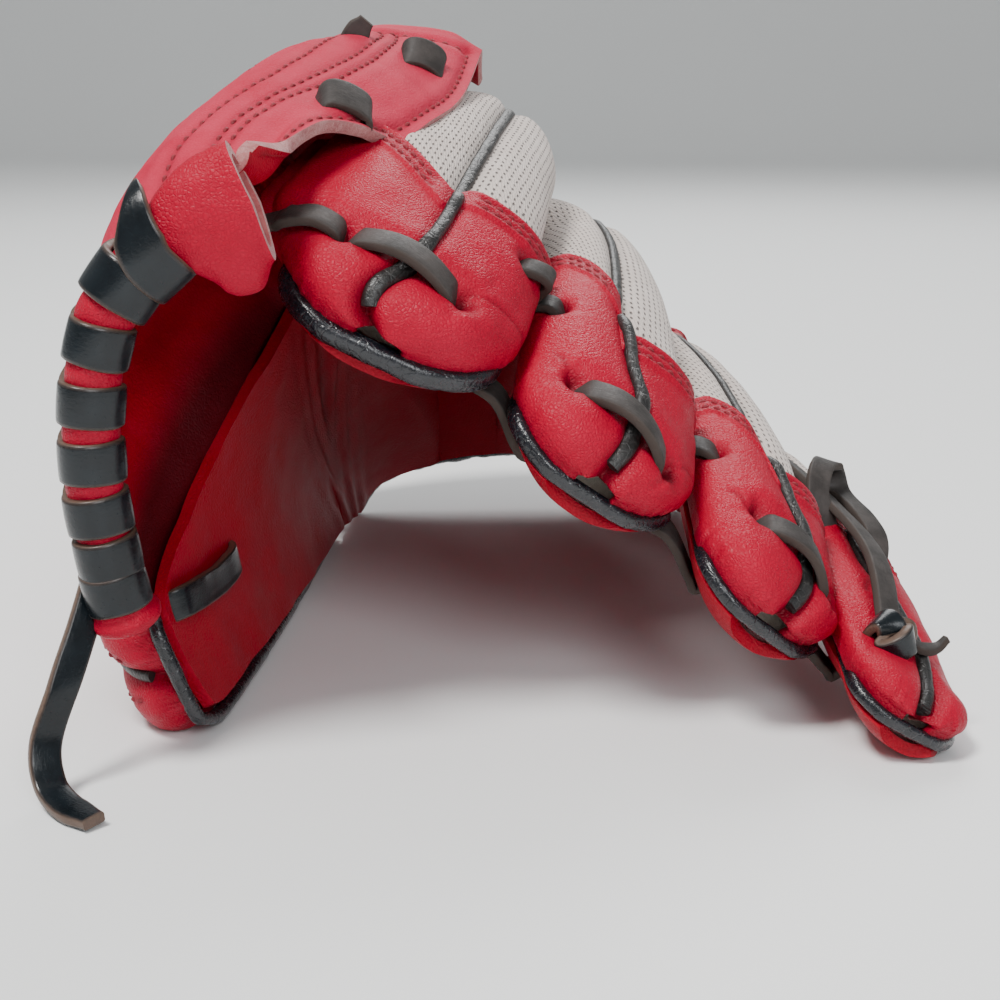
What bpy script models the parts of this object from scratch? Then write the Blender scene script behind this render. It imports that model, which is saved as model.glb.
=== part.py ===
# Youth baseball glove lying palm down, finger tips towards -Y, thumb on -X.
# The hand side is the fixed body, the thumb side folds about the line from
# the thumb crotch to the heel, and the wrist strap opens on its own hinge.
# All driving dimensions are in millimetres and are scaled to metres at the end.
import math

import bmesh
import bpy
import numpy as np
from mathutils import Matrix

MM = 0.001
LEATHER = 2.0            # shell leather thickness
GAP = 0.45               # clearance between neighbouring pieces
LACE_W = 5.2             # flat lace, width
LACE_T = 1.6             # flat lace, thickness
LACE_Y = 11.0            # finger lace, distance behind the finger tips
BIND_R = 1.55            # edge binding, radius of the rolled strip
WELT_R = 1.25            # finger welt, radius
PALM_PLANE = 0.4         # inner face of the palm leather below the plane of the bindings
RIM = 3.2                # the palm leather stops this far inside the middle of a binding
FOLD_A = (-40.0, -24.0, 74.0)    # thumb fold line, crotch end
FOLD_B = (-33.0, 44.0, 2.0)      # thumb fold line, heel end

# name: tip point, base point, arch of the spine, roll at tip and base (deg),
#       half width at tip and base, crown height, length of the leather tip
FINGERS = {
    "index":  dict(tip=(-18.6, -77.0, 61.2), base=(-5.5, 2.0, 81.5), arch=4.0, roll=(25.0, 34.0),
                   half=(19.4, 15.2), crown=(8.8, 14.5), cover=38.0),
    "middle": dict(tip=(13.0, -76.5, 39.6), base=(11.5, 2.0, 58.5), arch=5.0, roll=(35.0, 45.0),
                   half=(16.2, 13.0), crown=(7.4, 13.0), cover=38.0),
    "ring":   dict(tip=(40.2, -77.0, 18.6), base=(29.0, 3.0, 37.0), arch=5.0, roll=(40.0, 46.0),
                   half=(13.6, 10.8), crown=(6.4, 12.0), cover=36.0),
    "pinky":  dict(tip=(63.0, -86.0, 5.6), base=(53.0, 3.0, 18.5), arch=3.5, roll=(31.0, 42.0),
                   half=(9.6, 8.8), crown=(6.6, 13.8), cover=37.0),
}
NAMES = list(FINGERS)

RED = (0.62, 0.015, 0.035)
BLACK = (0.012, 0.012, 0.013)
GREY = (0.50, 0.46, 0.43)
FELT = (0.55, 0.50, 0.42)
LINING = (0.10, 0.10, 0.11)
PLASTIC = (0.75, 0.75, 0.72)

for old in list(bpy.data.objects):
    bpy.data.objects.remove(old, do_unlink=True)

glove = bpy.data.collections.new("baseball_glove")
bpy.context.scene.collection.children.link(glove)


def finish(colour, roughness, metallic=0.0):
    key = "finish_%.3f_%.3f_%.3f_%.2f" % (*colour, roughness)
    mat = bpy.data.materials.get(key)
    if mat is None:
        mat = bpy.data.materials.new(key)
        mat.use_nodes = True
        bsdf = mat.node_tree.nodes["Principled BSDF"]
        bsdf.inputs["Base Color"].default_value = (*colour, 1.0)
        bsdf.inputs["Roughness"].default_value = roughness
        bsdf.inputs["Metallic"].default_value = metallic
    return mat


def unit(v):
    v = np.asarray(v, float)
    return v / np.linalg.norm(v)


def spline(points, n):
    """n points, evenly spaced, on a centripetal-like cubic through the given points."""
    p = np.asarray(points, float)
    ext = np.vstack([2 * p[0] - p[1], p, 2 * p[-1] - p[-2]])
    fine = []
    for i in range(1, len(ext) - 2):
        a, b, c, d = ext[i - 1:i + 3]
        for t in np.linspace(0, 1, 16, endpoint=False):
            fine.append(0.5 * (2 * b + (c - a) * t + (2 * a - 5 * b + 4 * c - d) * t * t
                               + (3 * b - a - 3 * c + d) * t ** 3))
    fine.append(p[-1])
    fine = np.array(fine)
    run = np.concatenate([[0], np.cumsum(np.linalg.norm(np.diff(fine, axis=0), axis=1))])
    return np.array([[np.interp(s, run, fine[:, k]) for k in range(fine.shape[1])]
                     for s in np.linspace(0, run[-1], n)])


def patch(net, rows, cols):
    """A smooth surface through a net of points, sampled rows x cols."""
    net = np.asarray(net, float)
    across = np.array([spline(r, cols) for r in net])
    return np.array([spline(across[:, j], rows) for j in range(cols)]).transpose(1, 0, 2)


def normals_of(grid, outward):
    """Unit normals of a grid of points, on the side of the outward vector."""
    du = np.gradient(grid, axis=0)
    dv = np.gradient(grid, axis=1)
    n = np.cross(du, dv)
    n /= np.linalg.norm(n, axis=2, keepdims=True)
    if (n.reshape(-1, 3).mean(0) @ np.asarray(outward, float)) < 0:
        n = -n
    return n


def new_object(name, bm, colour, roughness):
    mesh = bpy.data.meshes.new(name)
    bm.to_mesh(mesh)
    bm.free()
    obj = bpy.data.objects.new(name, mesh)
    glove.objects.link(obj)
    mesh.materials.append(finish(colour, roughness))
    mesh.shade_smooth()
    return obj


def sheet_solid(name, lower, upper, colour, roughness):
    """The closed solid between two grids of points with the same layout."""
    rows, cols = lower.shape[:2]
    bm = bmesh.new()
    a = [[bm.verts.new(lower[i, j] * MM) for j in range(cols)] for i in range(rows)]
    b = [[bm.verts.new(upper[i, j] * MM) for j in range(cols)] for i in range(rows)]
    for i in range(rows - 1):
        for j in range(cols - 1):
            bm.faces.new((a[i][j], a[i][j + 1], a[i + 1][j + 1], a[i + 1][j]))
            bm.faces.new((b[i][j], b[i + 1][j], b[i + 1][j + 1], b[i][j + 1]))
    for i in range(rows - 1):
        bm.faces.new((a[i][0], a[i + 1][0], b[i + 1][0], b[i][0]))
        bm.faces.new((a[i][-1], b[i][-1], b[i + 1][-1], a[i + 1][-1]))
    for j in range(cols - 1):
        bm.faces.new((a[0][j], b[0][j], b[0][j + 1], a[0][j + 1]))
        bm.faces.new((a[-1][j], a[-1][j + 1], b[-1][j + 1], b[-1][j]))
    if bm.calc_volume(signed=True) < 0:
        bmesh.ops.reverse_faces(bm, faces=bm.faces)
    return new_object(name, bm, colour, roughness)


def layer(name, grid, normal, low, high, colour, roughness):
    """A sheet that lies from low to high millimetres off a surface."""
    return sheet_solid(name, grid + normal * low, grid + normal * high, colour, roughness)


def tube(name, points, radius, colour, roughness, sides=2):
    """A round strip along a line of points, as a bevelled curve with caps."""
    data = bpy.data.curves.new(name, "CURVE")
    data.dimensions = "3D"
    data.bevel_depth = radius * MM
    data.bevel_resolution = sides
    data.use_fill_caps = True
    data.twist_mode = "MINIMUM"
    line = data.splines.new("POLY")
    line.points.add(len(points) - 1)
    for dst, p in zip(line.points, points):
        dst.co = (*(np.asarray(p) * MM), 1.0)
    data.materials.append(finish(colour, roughness))
    obj = bpy.data.objects.new(name, data)
    glove.objects.link(obj)
    return obj


def strap(name, points, across, width, thick, colour, roughness):
    """A flat lace: a strip along the points, lying across the given directions."""
    p = np.asarray(points, float)
    t = np.gradient(p, axis=0)
    t /= np.linalg.norm(t, axis=1, keepdims=True)
    w = np.asarray(across, float)
    w = w - (w * t).sum(1, keepdims=True) * t
    w /= np.linalg.norm(w, axis=1, keepdims=True)
    n = np.cross(t, w)
    mid = np.stack([p - w * width / 2, p + w * width / 2], 1)
    nn = np.stack([n, n], 1)
    return sheet_solid(name, mid - nn * thick / 2, mid + nn * thick / 2, colour, roughness)


# ---------------------------------------------------------------- fingers

def finger_frame(f, y):
    """Point on the spine and its frame (across, along to the base, out of the back), y mm from the tip."""
    t0, t2 = np.array(f["tip"]), np.array(f["base"])
    roll_mid = math.radians(sum(f["roll"]) / 2)
    t1 = (t0 + t2) / 2 + np.array((math.sin(roll_mid), 0, math.cos(roll_mid))) * 2 * f["arch"]
    length = np.linalg.norm(t2 - t0)
    u = y / length
    c = (1 - u) ** 2 * t0 + 2 * u * (1 - u) * t1 + u * u * t2
    d = unit(2 * (1 - u) * (t1 - t0) + 2 * u * (t2 - t1))
    r = math.radians(f["roll"][0] + (f["roll"][1] - f["roll"][0]) * min(max(u, 0), 1.2))
    n = np.array((math.sin(r), 0, math.cos(r)))
    n = unit(n - (n @ d) * d)
    return c, np.cross(d, n), d, n


def length_of(f):
    return float(np.linalg.norm(np.array(f["base"]) - np.array(f["tip"])))


def half_width(f, y):
    """Half width of the finger's outline y mm from the tip: a blunt round end, then an even taper."""
    h0, h1 = f["half"]
    r = h0 * 0.95
    k = min(max(y / r, 0.0), 1.0)
    full = h0 + (h1 - h0) * min(max(y / length_of(f), 0), 1)
    return full * (1 - (1 - k) ** 2.5) ** (1 / 2.5)


def crown(f, y):
    k = min(max(y / 14.0, 0.0), 1.0)
    full = f["crown"][0] + (f["crown"][1] - f["crown"][0]) * min(max(y / length_of(f), 0), 1)
    return full * (1 - (1 - k) ** 2.2) ** (1 / 2.2)


def back_point(f, q, y, inset=0.0):
    """Point of the back of the finger, q from -1 (thumb side) to 1, inset mm under the leather's outer face."""
    c, w, d, n = finger_frame(f, y)
    hw = max(half_width(f, y) - inset, 0.4)
    h = max(crown(f, y) - inset, 0.15)
    a = q * math.pi / 2
    x = hw * math.copysign(abs(math.sin(a)) ** 0.9, q)
    z = 2.1 + h * max(math.cos(a), 0.0) ** 0.75
    return c + w * x + n * z


def back_grid(f, q0, q1, y0, y1, rows, cols, inset=0.0, power=1.0):
    ys = y0 + (y1 - y0) * np.linspace(0, 1, rows) ** power
    return np.array([[back_point(f, q, y, inset) for q in np.linspace(q0, q1, cols)] for y in ys])


def palm_point(f, q, y, depth=0.0):
    """Point of the palm side of the finger: slightly dished, depth mm further out."""
    c, w, d, n = finger_frame(f, y)
    hw = half_width(f, y) - RIM
    return c + w * hw * q - n * (PALM_PLANE + 4.2 * (1 - q * q) * min(1.0, y / 20.0) + depth)


lace_path, lace_across = [], []
for name, f in FINGERS.items():
    L = length_of(f)
    g = 1.9 / f["half"][0]
    for side, q0, q1 in (("thumbward", -1.0, -g), ("outward", g, 1.0)):
        outer = back_grid(f, q0, q1, 0.1, f["cover"], 9, 6, 0.0, 1.8)
        inner = back_grid(f, q0, q1, 0.1 + LEATHER, f["cover"], 9, 6, LEATHER, 1.8)
        sheet_solid("%s_tip_%s" % (name, side), inner, outer, RED, 0.42)
    outer = back_grid(f, -0.97, 0.97, f["cover"] - 6.0, L, 5, 9, LEATHER + GAP)
    inner = back_grid(f, -0.97, 0.97, f["cover"] - 6.0, L, 5, 9, LEATHER + GAP + 1.4)
    sheet_solid("%s_mesh_back" % name, inner, outer, GREY, 0.85)
    line = [back_point(f, 0.0, y, -0.15) for y in np.linspace(1.6, L, 12)]
    tube("%s_welt" % name, line, WELT_R, BLACK, 0.4)
    rim = []
    for y in list(np.linspace(L - 12, 10, 7)) + [6.0, 3.2, 1.4, 0.45]:
        c, w, d, n = finger_frame(f, y)
        rim.append(c - w * half_width(f, y))
    for y in [0.45, 1.4, 3.2, 6.0] + list(np.linspace(10, L - 12, 7)):
        c, w, d, n = finger_frame(f, y)
        rim.append(c + w * half_width(f, y))
    tube("%s_binding" % name, spline(rim, 26), BIND_R, BLACK, 0.35)
    ys = np.linspace(5.0, L - 8.0, 7)
    top = np.array([[finger_frame(f, y)[0] + finger_frame(f, y)[1] * half_width(f, y) * q * 0.70
                     + finger_frame(f, y)[3] * 1.2 for q in np.linspace(-1, 1, 5)] for y in ys])
    low = np.array([[palm_point(f, q * 0.70, y, -1.1) for q in np.linspace(-1, 1, 5)] for y in ys])
    sheet_solid("%s_felt_pad" % name, low, top, FELT, 0.9)

    # The lace lies over the back, rises over the welt and dips between this finger and the next.
    stops = [(-0.80, 1.7), (-0.50, 1.7), (-0.17, 2.8), (0.17, 2.8), (0.50, 1.7), (0.80, 1.7)]
    c, w, d, n = finger_frame(f, LACE_Y)
    if name == "index":
        lace_path.append(c - w * (half_width(f, LACE_Y) + 2.8) + n * 8.0)
        lace_across.append(d)
    if name == "ring":
        stops[-1] = (0.68, 2.4)
    if name == "pinky":
        stops = []
    for q, lift in stops:
        lace_path.append(back_point(f, q, LACE_Y, -lift))
        lace_across.append(d)

# ---------------------------------------------------------------- thumb

# Binding line of the thumb, bottom edge and top edge, from the tip to the fold line, with the crown of its back.
THUMB = [((-48.8, -77.5, 6.0), (-51.5, -77.5, 17.0), 3.0),
         ((-46.8, -72.0, 2.4), (-54.0, -73.0, 25.5), 10.0),
         ((-44.5, -50.0, 2.2), (-50.5, -59.0, 37.0), 14.0),
         ((-42.0, -22.0, 2.2), (-45.0, -47.0, 48.5), 14.5),
         ((-39.5, 8.0, 2.2), (-39.5, -36.0, 58.5), 13.0),
         ((-37.0, 36.0, 2.2), (-35.0, -27.0, 67.0), 10.0)]


def thumb_frame(r):
    """Bottom point, top point, outward normal and crown, r from 0 at the tip to 1 at the fold line."""
    data = np.array([[*b, *t, h] for b, t, h in THUMB])
    k = spline(data, 101)[int(round(min(max(r, 0), 1) * 100))]
    k2 = spline(data, 101)
    i = int(round(min(max(r, 0), 1) * 100))
    along = unit((k2[min(i + 2, 100)] - k2[max(i - 2, 0)])[:6].reshape(2, 3).mean(0))
    b, t = k[:3], k[3:6]
    n = unit(np.cross(unit(t - b), along))
    if n[0] > 0:
        n = -n
    return b, t, n, k[6]


def thumb_point(r, q, z):
    """Point at q from -1 (bottom) to 1 (top), z mm out of the binding plane (minus is the pocket side)."""
    b, t, n, h = thumb_frame(r)
    bow = 3.2 * (1 - q * q) * min(1.0, r * 3.0)
    return (b + t) / 2 + (t - b) / 2 * q + n * (bow + z)


def thumb_back(r, q, inset=0.0):
    b, t, n, h = thumb_frame(r)
    half = np.linalg.norm(t - b) / 2
    a = q * math.pi / 2
    k = math.copysign(abs(math.sin(a)) ** 0.9, q) * max(half - inset, 0.5) / half
    return thumb_point(r, k, 2.1 + max(h - inset, 0.2) * max(math.cos(a), 0.0) ** 0.75)


def thumb_palm(r, q, depth=0.0):
    """Pocket side of the thumb, stopping inside the binding; depth mm further into the pocket."""
    half = np.linalg.norm(thumb_frame(r)[1] - thumb_frame(r)[0]) / 2
    return thumb_point(r, q * (half - RIM) / half, -PALM_PLANE - depth)


ROWS_T = np.linspace(0.0, 1.0, 10) ** 1.2


def seam_q(r):
    """Where the leather stops beside the thumb's welt."""
    half = np.linalg.norm(thumb_frame(r)[1] - thumb_frame(r)[0]) / 2
    return math.asin(min((2.0 / half) ** (1 / 0.9), 0.9)) / (math.pi / 2)


for side, s in (("lower", -1.0), ("upper", 1.0)):
    outer = np.array([[thumb_back(r, s * q) for q in np.linspace(seam_q(r), 1, 6)] for r in ROWS_T * 0.985])
    inner = np.array([[thumb_back(r, s * q, LEATHER) for q in np.linspace(seam_q(r), 1, 6)] for r in 0.018 + ROWS_T * 0.967])
    sheet_solid("thumb_cover_%s" % side, inner, outer, RED, 0.42)
tube("thumb_welt", [thumb_back(r, 0.0, -0.1) for r in np.linspace(0.09, 0.97, 12)], WELT_R, BLACK, 0.4)
rim = [thumb_point(r, -1, 0) for r in (0.97, 0.85, 0.7, 0.55, 0.4, 0.25, 0.12, 0.05, 0.0)]
rim += [thumb_point(r, 1, 0) for r in (0.0, 0.05, 0.12, 0.25, 0.4)]
tube("thumb_binding", spline(rim, 34), BIND_R, BLACK, 0.35)
rr = np.linspace(0.12, 0.9, 8)
qq = np.linspace(-0.78, 0.22, 6)
sheet_solid("thumb_felt_pad", np.array([[thumb_point(r, q, 0.5) for q in qq] for r in rr]),
            np.array([[thumb_point(r, q, 3.6) for q in qq] for r in rr]), FELT, 0.9)
rr = np.linspace(0.2, 0.75, 6)
qq = np.linspace(-0.35, 0.35, 4)
sheet_solid("thumb_stiffener", np.array([[thumb_point(r, q, 4.2) for q in qq] for r in rr]),
            np.array([[thumb_point(r, q, 5.4) for q in qq] for r in rr]), PLASTIC, 0.5)

# ---------------------------------------------------------------- palm

# Edge of the palm leather at the heel, from the thumb side to the little-finger side.
HEEL = [(-34.0, 53.0, 2.6), (-28.0, 58.0, 9.0), (-14.0, 61.0, 13.0), (2.0, 63.0, 14.5), (18.0, 63.0, 13.5),
        (32.0, 60.0, 9.0), (43.0, 55.0, 2.6)]
N_T, N_F, N_B = 6, 4, 7          # points across the thumb, across a finger, rows from knuckles to heel

front = [thumb_palm(1.0, q) for q in np.linspace(-1, 1, N_T)]
for f in FINGERS.values():
    front += [palm_point(f, q, length_of(f) - 2.0) for q in np.linspace(-1, 1, N_F)]
front = np.array(front)
heel = spline(HEEL, len(front))
BASE = []
for k in np.linspace(0, 1, N_B):
    row = []
    for a, b in zip(front, heel):
        ctl = (a + b) / 2 + np.array((0.0, 0.17, 0.27)) * max(a[2] - 4.0, 0.0)
        row.append((1 - k) ** 2 * a + 2 * k * (1 - k) * ctl + k * k * b)
    BASE.append(row)
BASE = np.array(BASE)
BASE_N = normals_of(BASE, (0.3, 0.4, 1.0))

bm = bmesh.new()
base_v = [[bm.verts.new(p * MM) for p in row] for row in BASE]
for i in range(N_B - 1):
    for j in range(len(front) - 1):
        bm.faces.new((base_v[i][j], base_v[i][j + 1], base_v[i + 1][j + 1], base_v[i + 1][j]))


def lobe(first, points):
    """Grow a lobe of leather forward from the first row of the palm."""
    prev = base_v[0][first:first + len(points[0])]
    for row in points:
        cur = [bm.verts.new(p * MM) for p in row]
        for j in range(len(cur) - 1):
            bm.faces.new((cur[j], cur[j + 1], prev[j + 1], prev[j]))
        prev = cur


lobe(0, [[thumb_palm(r, q) for q in np.linspace(-1, 1, N_T)]
         for r in (0.85, 0.66, 0.48, 0.30, 0.19, 0.11, 0.065)])
for k, f in enumerate(FINGERS.values()):
    L = length_of(f)
    lobe(N_T + k * N_F, [[palm_point(f, q, y) for q in np.linspace(-1, 1, N_F)]
                         for y in (L - 18, 40.0, 26.0, 16.0, 9.5, 5.8, 3.7)])
bmesh.ops.recalc_face_normals(bm, faces=bm.faces)
bm.normal_update()
if base_v[3][N_T + 5].normal.z > 0:
    bmesh.ops.reverse_faces(bm, faces=bm.faces)
palm = new_object("palm_leather", bm, RED, 0.42)
thick = palm.modifiers.new("thickness", "SOLIDIFY")
thick.thickness = LEATHER * MM
thick.offset = 1.0
thick.use_even_offset = False

F0 = N_T
layer("palm_felt_pad", BASE[1:-1, F0 + 1:-1], BASE_N[1:-1, F0 + 1:-1], 0.7, 4.6, FELT, 0.9)
layer("heel_felt_pad", BASE[2:-1, 1:F0], BASE_N[2:-1, 1:F0], 0.7, 3.6, FELT, 0.9)
layer("palm_lining", BASE[1:-1, F0 + 1:-1], BASE_N[1:-1, F0 + 1:-1], 5.1, 6.0, LINING, 0.8)

# ---------------------------------------------------------------- back of the hand and wrist

BACK = [[(-40.5, 41.0, 5.0), (-49.0, 21.0, 30.0), (-44.5, -4.0, 56.0), (-31.0, -6.0, 80.0), (-12.0, 7.0, 95.5),
         (6.0, 8.5, 97.0), (29.5, 7.0, 66.5), (49.5, 7.5, 41.5), (65.5, 8.0, 24.0), (67.5, 8.0, 9.5)],
        [(-39.5, 48.0, 5.0), (-49.0, 37.0, 26.0), (-46.0, 25.0, 47.0), (-34.0, 24.0, 67.0), (-16.0, 32.0, 80.0),
         (2.0, 38.0, 80.0), (24.0, 38.0, 61.0), (42.0, 37.0, 40.0), (56.0, 34.0, 22.0), (58.0, 31.0, 7.5)],
        [(-38.5, 54.0, 5.0), (-44.0, 59.0, 18.0), (-38.0, 64.0, 32.0), (-26.0, 67.5, 41.5), (-11.0, 70.0, 47.0),
         (4.0, 70.0, 47.5), (19.0, 69.0, 41.5), (34.0, 66.0, 31.0), (46.0, 60.0, 16.0), (48.5, 55.0, 6.0)]]
BACK_G = patch(BACK, 9, 19)
BACK_N = normals_of(BACK_G, (0.0, 0.4, 1.0))
layer("hand_back_panel", BACK_G, BACK_N, -LEATHER, 0.0, RED, 0.42)
wrist = BACK_G[-1] + np.array((0.0, 2.3, 0.0)) - BACK_N[-1] * 1.0
tube("wrist_binding", wrist, BIND_R, BLACK, 0.35)
edge = [p + np.array((0.0, 2.3, -0.4)) for p in heel]
tube("heel_binding", spline(edge, 20), BIND_R, BLACK, 0.35)

# hook-and-loop wrist strap over the back, hinged on its thumb-side end
STRAP_ROWS, S0, S1 = slice(5, 9), 5, 15
SG, SN = BACK_G[STRAP_ROWS, S0:S1], BACK_N[STRAP_ROWS, S0:S1]
layer("wrist_strap", SG, SN, 3.6, 5.4, RED, 0.42)
layer("strap_hook_patch", SG[:, -4:-1], SN[:, -4:-1], 2.2, 3.2, BLACK, 0.9)
layer("strap_loop_patch", SG[:, -5:], SN[:, -5:], 0.4, 1.7, BLACK, 0.95)

# ---------------------------------------------------------------- web

# Outer face of the web, from the front edge to the crotch, each row from the thumb up over the ridge to the seam.
WEB = [[(-57.0, -86.0, 28.5), (-59.5, -87.5, 44.0), (-59.0, -88.0, 58.0), (-56.0, -88.0, 69.0), (-50.5, -87.5, 76.5),
        (-44.0, -87.0, 81.0), (-37.0, -86.0, 83.0)],
       [(-57.0, -64.0, 39.0), (-62.0, -63.0, 52.0), (-61.5, -62.0, 66.0), (-57.0, -61.0, 79.0), (-49.0, -60.0, 88.5),
        (-40.0, -59.0, 92.5), (-32.0, -58.0, 92.5)],
       [(-47.5, -40.0, 58.5), (-54.0, -37.0, 68.0), (-54.0, -34.0, 80.0), (-50.0, -32.0, 91.0), (-42.0, -30.0, 99.0),
        (-33.0, -28.0, 102.0), (-25.0, -26.0, 101.5)],
       [(-38.5, -22.0, 77.0), (-42.0, -14.0, 86.0), (-41.0, -9.0, 95.0), (-37.0, -5.0, 102.0), (-30.0, -1.0, 107.0),
        (-22.0, 2.0, 109.0), (-15.0, 4.0, 108.5)]]
WEB_G = patch(WEB, 11, 14)
WEB_N = normals_of(WEB_G, (-1.0, 0.0, 1.0))
# Flap of the web that is laced to the index finger.
TAB = [[(-36.0, -79.5, 86.2), (-33.5, -78.5, 87.0), (-31.0, -77.0, 87.5)],
       [(-31.3, -58.0, 93.0), (-27.0, -55.0, 93.8), (-22.5, -50.0, 93.0)],
       [(-24.3, -26.0, 101.4), (-18.0, -20.0, 101.0), (-11.0, -13.0, 98.6)],
       [(-14.3, 4.2, 108.4), (-9.0, 6.5, 107.5), (-3.0, 9.0, 105.5)]]
TAB_G = patch(TAB, 13, 6)
TAB_N = normals_of(TAB_G, (0.0, -0.2, 1.0))
layer("web_index_tab", TAB_G, TAB_N, -LEATHER, 0.0, RED, 0.45)

# The front edge is a rolled band that flares where it leaves the lacing.
ROLL_R, FLARE_H, FLARE_D = 3.0, 9.0, 3.8
roll_line = spline(WEB_G[0] - WEB_N[0] * 1.0, 28)
roll_t = np.gradient(roll_line, axis=0)
bm = bmesh.new()
rings = []
for k, p in enumerate(roll_line):
    t = unit(roll_t[k])
    e1 = unit(np.array((0, 1, 0)) - t[1] * t)
    e2 = np.cross(t, e1)
    g = min(max((k / 27 - 0.80) / 0.20, 0.0), 1.0)
    g = g * g * (3 - 2 * g)
    ra, rb = ROLL_R + (FLARE_D - ROLL_R) * g, ROLL_R + (FLARE_H - ROLL_R) * g
    rings.append([bm.verts.new((p + e1 * ra * math.cos(a) + e2 * rb * math.sin(a)) * MM)
                  for a in np.linspace(0, 2 * math.pi, 10, endpoint=False)])
for r0, r1 in zip(rings, rings[1:]):
    for j in range(10):
        bm.faces.new((r0[j], r0[(j + 1) % 10], r1[(j + 1) % 10], r1[j]))
bm.faces.new(rings[0][::-1])
bm.faces.new(rings[-1])
if bm.calc_volume(signed=True) < 0:
    bmesh.ops.reverse_faces(bm, faces=bm.faces)
new_object("web_edge_roll", bm, RED, 0.42)
back_of_roll = WEB_G.copy()
first = WEB_G[0] + (WEB_G[1] - WEB_G[0]) / np.linalg.norm(WEB_G[1] - WEB_G[0], axis=1, keepdims=True) * (ROLL_R + LACE_T + 4.0 * GAP)
back_of_roll[0] = first
layer("web_panel", back_of_roll, WEB_N, -LEATHER, 0.0, RED, 0.42)

TURNS = 8
steps = TURNS * 12
path, over = [], []
dense = spline(roll_line, 200)
tang = np.gradient(dense, axis=0)
tang /= np.linalg.norm(tang, axis=1, keepdims=True)
for k in range(steps + 1):
    u = k / steps
    i = int(round((0.02 + 0.76 * u) * 199))
    t = tang[i]
    e1 = unit(np.array((0, 1, 0)) - t[1] * t)
    e2 = np.cross(t, e1)
    a = math.pi + 2 * math.pi * TURNS * u
    path.append(dense[i] + (e1 * math.cos(a) + e2 * math.sin(a)) * (ROLL_R + GAP + LACE_T / 2))
    over.append(t)
strap("web_wrap_lace", path, over, 4.6, LACE_T, BLACK, 0.35)

# ---------------------------------------------------------------- laces

finger_lace = spline(lace_path, 120)
finger_across = spline([p + 10 * a for p, a in zip(lace_path, lace_across)], 120) - finger_lace
strap("finger_lace", finger_lace, finger_across, LACE_W, LACE_T, BLACK, 0.5)
LIFT = GAP + LACE_T / 2
for name, row in (("web_tab_lace_front", 5), ("web_tab_lace_rear", 9)):
    n = TAB_N[row, 3]
    run = unit(TAB_G[row, 5] - TAB_G[row, 3])
    stops = [TAB_G[row, 1] * 0.5 + TAB_G[row, 2] * 0.5 + n * LIFT, TAB_G[row, 3] + n * (LIFT + 0.3), TAB_G[row, 4] + n * (LIFT + 0.3),
             TAB_G[row, 5] + run * 1.3 + n * 0.6, TAB_G[row, 5] + run * 1.6 - n * 3.0]
    strap(name, spline(stops, 14), [TAB_G[row + 1, 3] - TAB_G[row - 1, 3]] * 14, LACE_W, LACE_T, BLACK, 0.4)

for k in range(3):
    f0, f1 = FINGERS[NAMES[k]], FINGERS[NAMES[k + 1]]
    stops = [palm_point(f0, q, 13.0, LEATHER + LIFT + 0.5) for q in (0.45, 0.75, 0.98)]
    y1 = 13.0 + f0["tip"][1] - f1["tip"][1]
    stops += [palm_point(f1, q, y1, LEATHER + LIFT + (1.5 if k == 2 else 0.5)) for q in (-0.98, -0.75, -0.45)]
    stops = [stops[0], stops[1], (stops[2] + stops[3]) / 2, stops[4], stops[5]]
    across = finger_frame(f0, 13.0)[2] + finger_frame(f1, 13.0)[2]
    strap("palm_lace_%s_%s" % (NAMES[k], NAMES[k + 1]), spline(stops, 14), [across] * 14, LACE_W, LACE_T, BLACK, 0.4)
stops = [thumb_palm(r, q, LEATHER + LIFT + 1.0) for r, q in ((0.12, 0.58), (0.18, 0.36), (0.28, 0.10), (0.39, -0.02))]
strap("thumb_palm_lace", spline(stops, 12), [np.cross(thumb_frame(0.25)[2], stops[-1] - stops[0])] * 12, LACE_W, LACE_T, BLACK, 0.4)

# free tail of the web lace, hanging to the floor
TAIL = [(-59.0, -89.5, 23.5), (-62.5, -92.5, 16.0), (-64.8, -95.5, 8.5), (-63.8, -98.5, 3.7), (-60.5, -102.5, 2.0), (-55.5, -107.0, 1.9)]
tail = spline(TAIL, 22)
strap("web_lace_tail", tail, [(0.75, 0.62, 0.1)] * 22, 4.6, LACE_T, BLACK, 0.35)

# little-finger knot, its free tail, and the heel lace loop
pf, rf = FINGERS["pinky"], FINGERS["ring"]
c, w, d, n = finger_frame(pf, 15.0)
knot = c + n * (crown(pf, 15.0) + 7.6) - w * 3.0
bm = bmesh.new()
bmesh.ops.create_icosphere(bm, subdivisions=2, radius=1.0)
for v in bm.verts:
    v.co = [(knot + w * v.co.x * 5.2 + d * v.co.y * 4.4 + n * v.co.z * 3.8)[k] * MM for k in range(3)]
new_object("pinky_lace_knot", bm, BLACK, 0.5)
mid = lambda y, h: (back_point(rf, 0.45, y, 0) + back_point(pf, -0.45, y, 0)) / 2 + unit(finger_frame(rf, y)[3] + finger_frame(pf, y)[3]) * h
run = [knot + d * 5.4 - w * 1.0 + n * 0.4, mid(38.0, 6.4), mid(46.0, 5.4), mid(56.0, 4.6), mid(66.0, 4.2), mid(75.0, 4.8)]
line = spline(run, 22)
strap("pinky_lace_tail", line, [w] * 22, 4.4, LACE_T, BLACK, 0.5)

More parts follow.
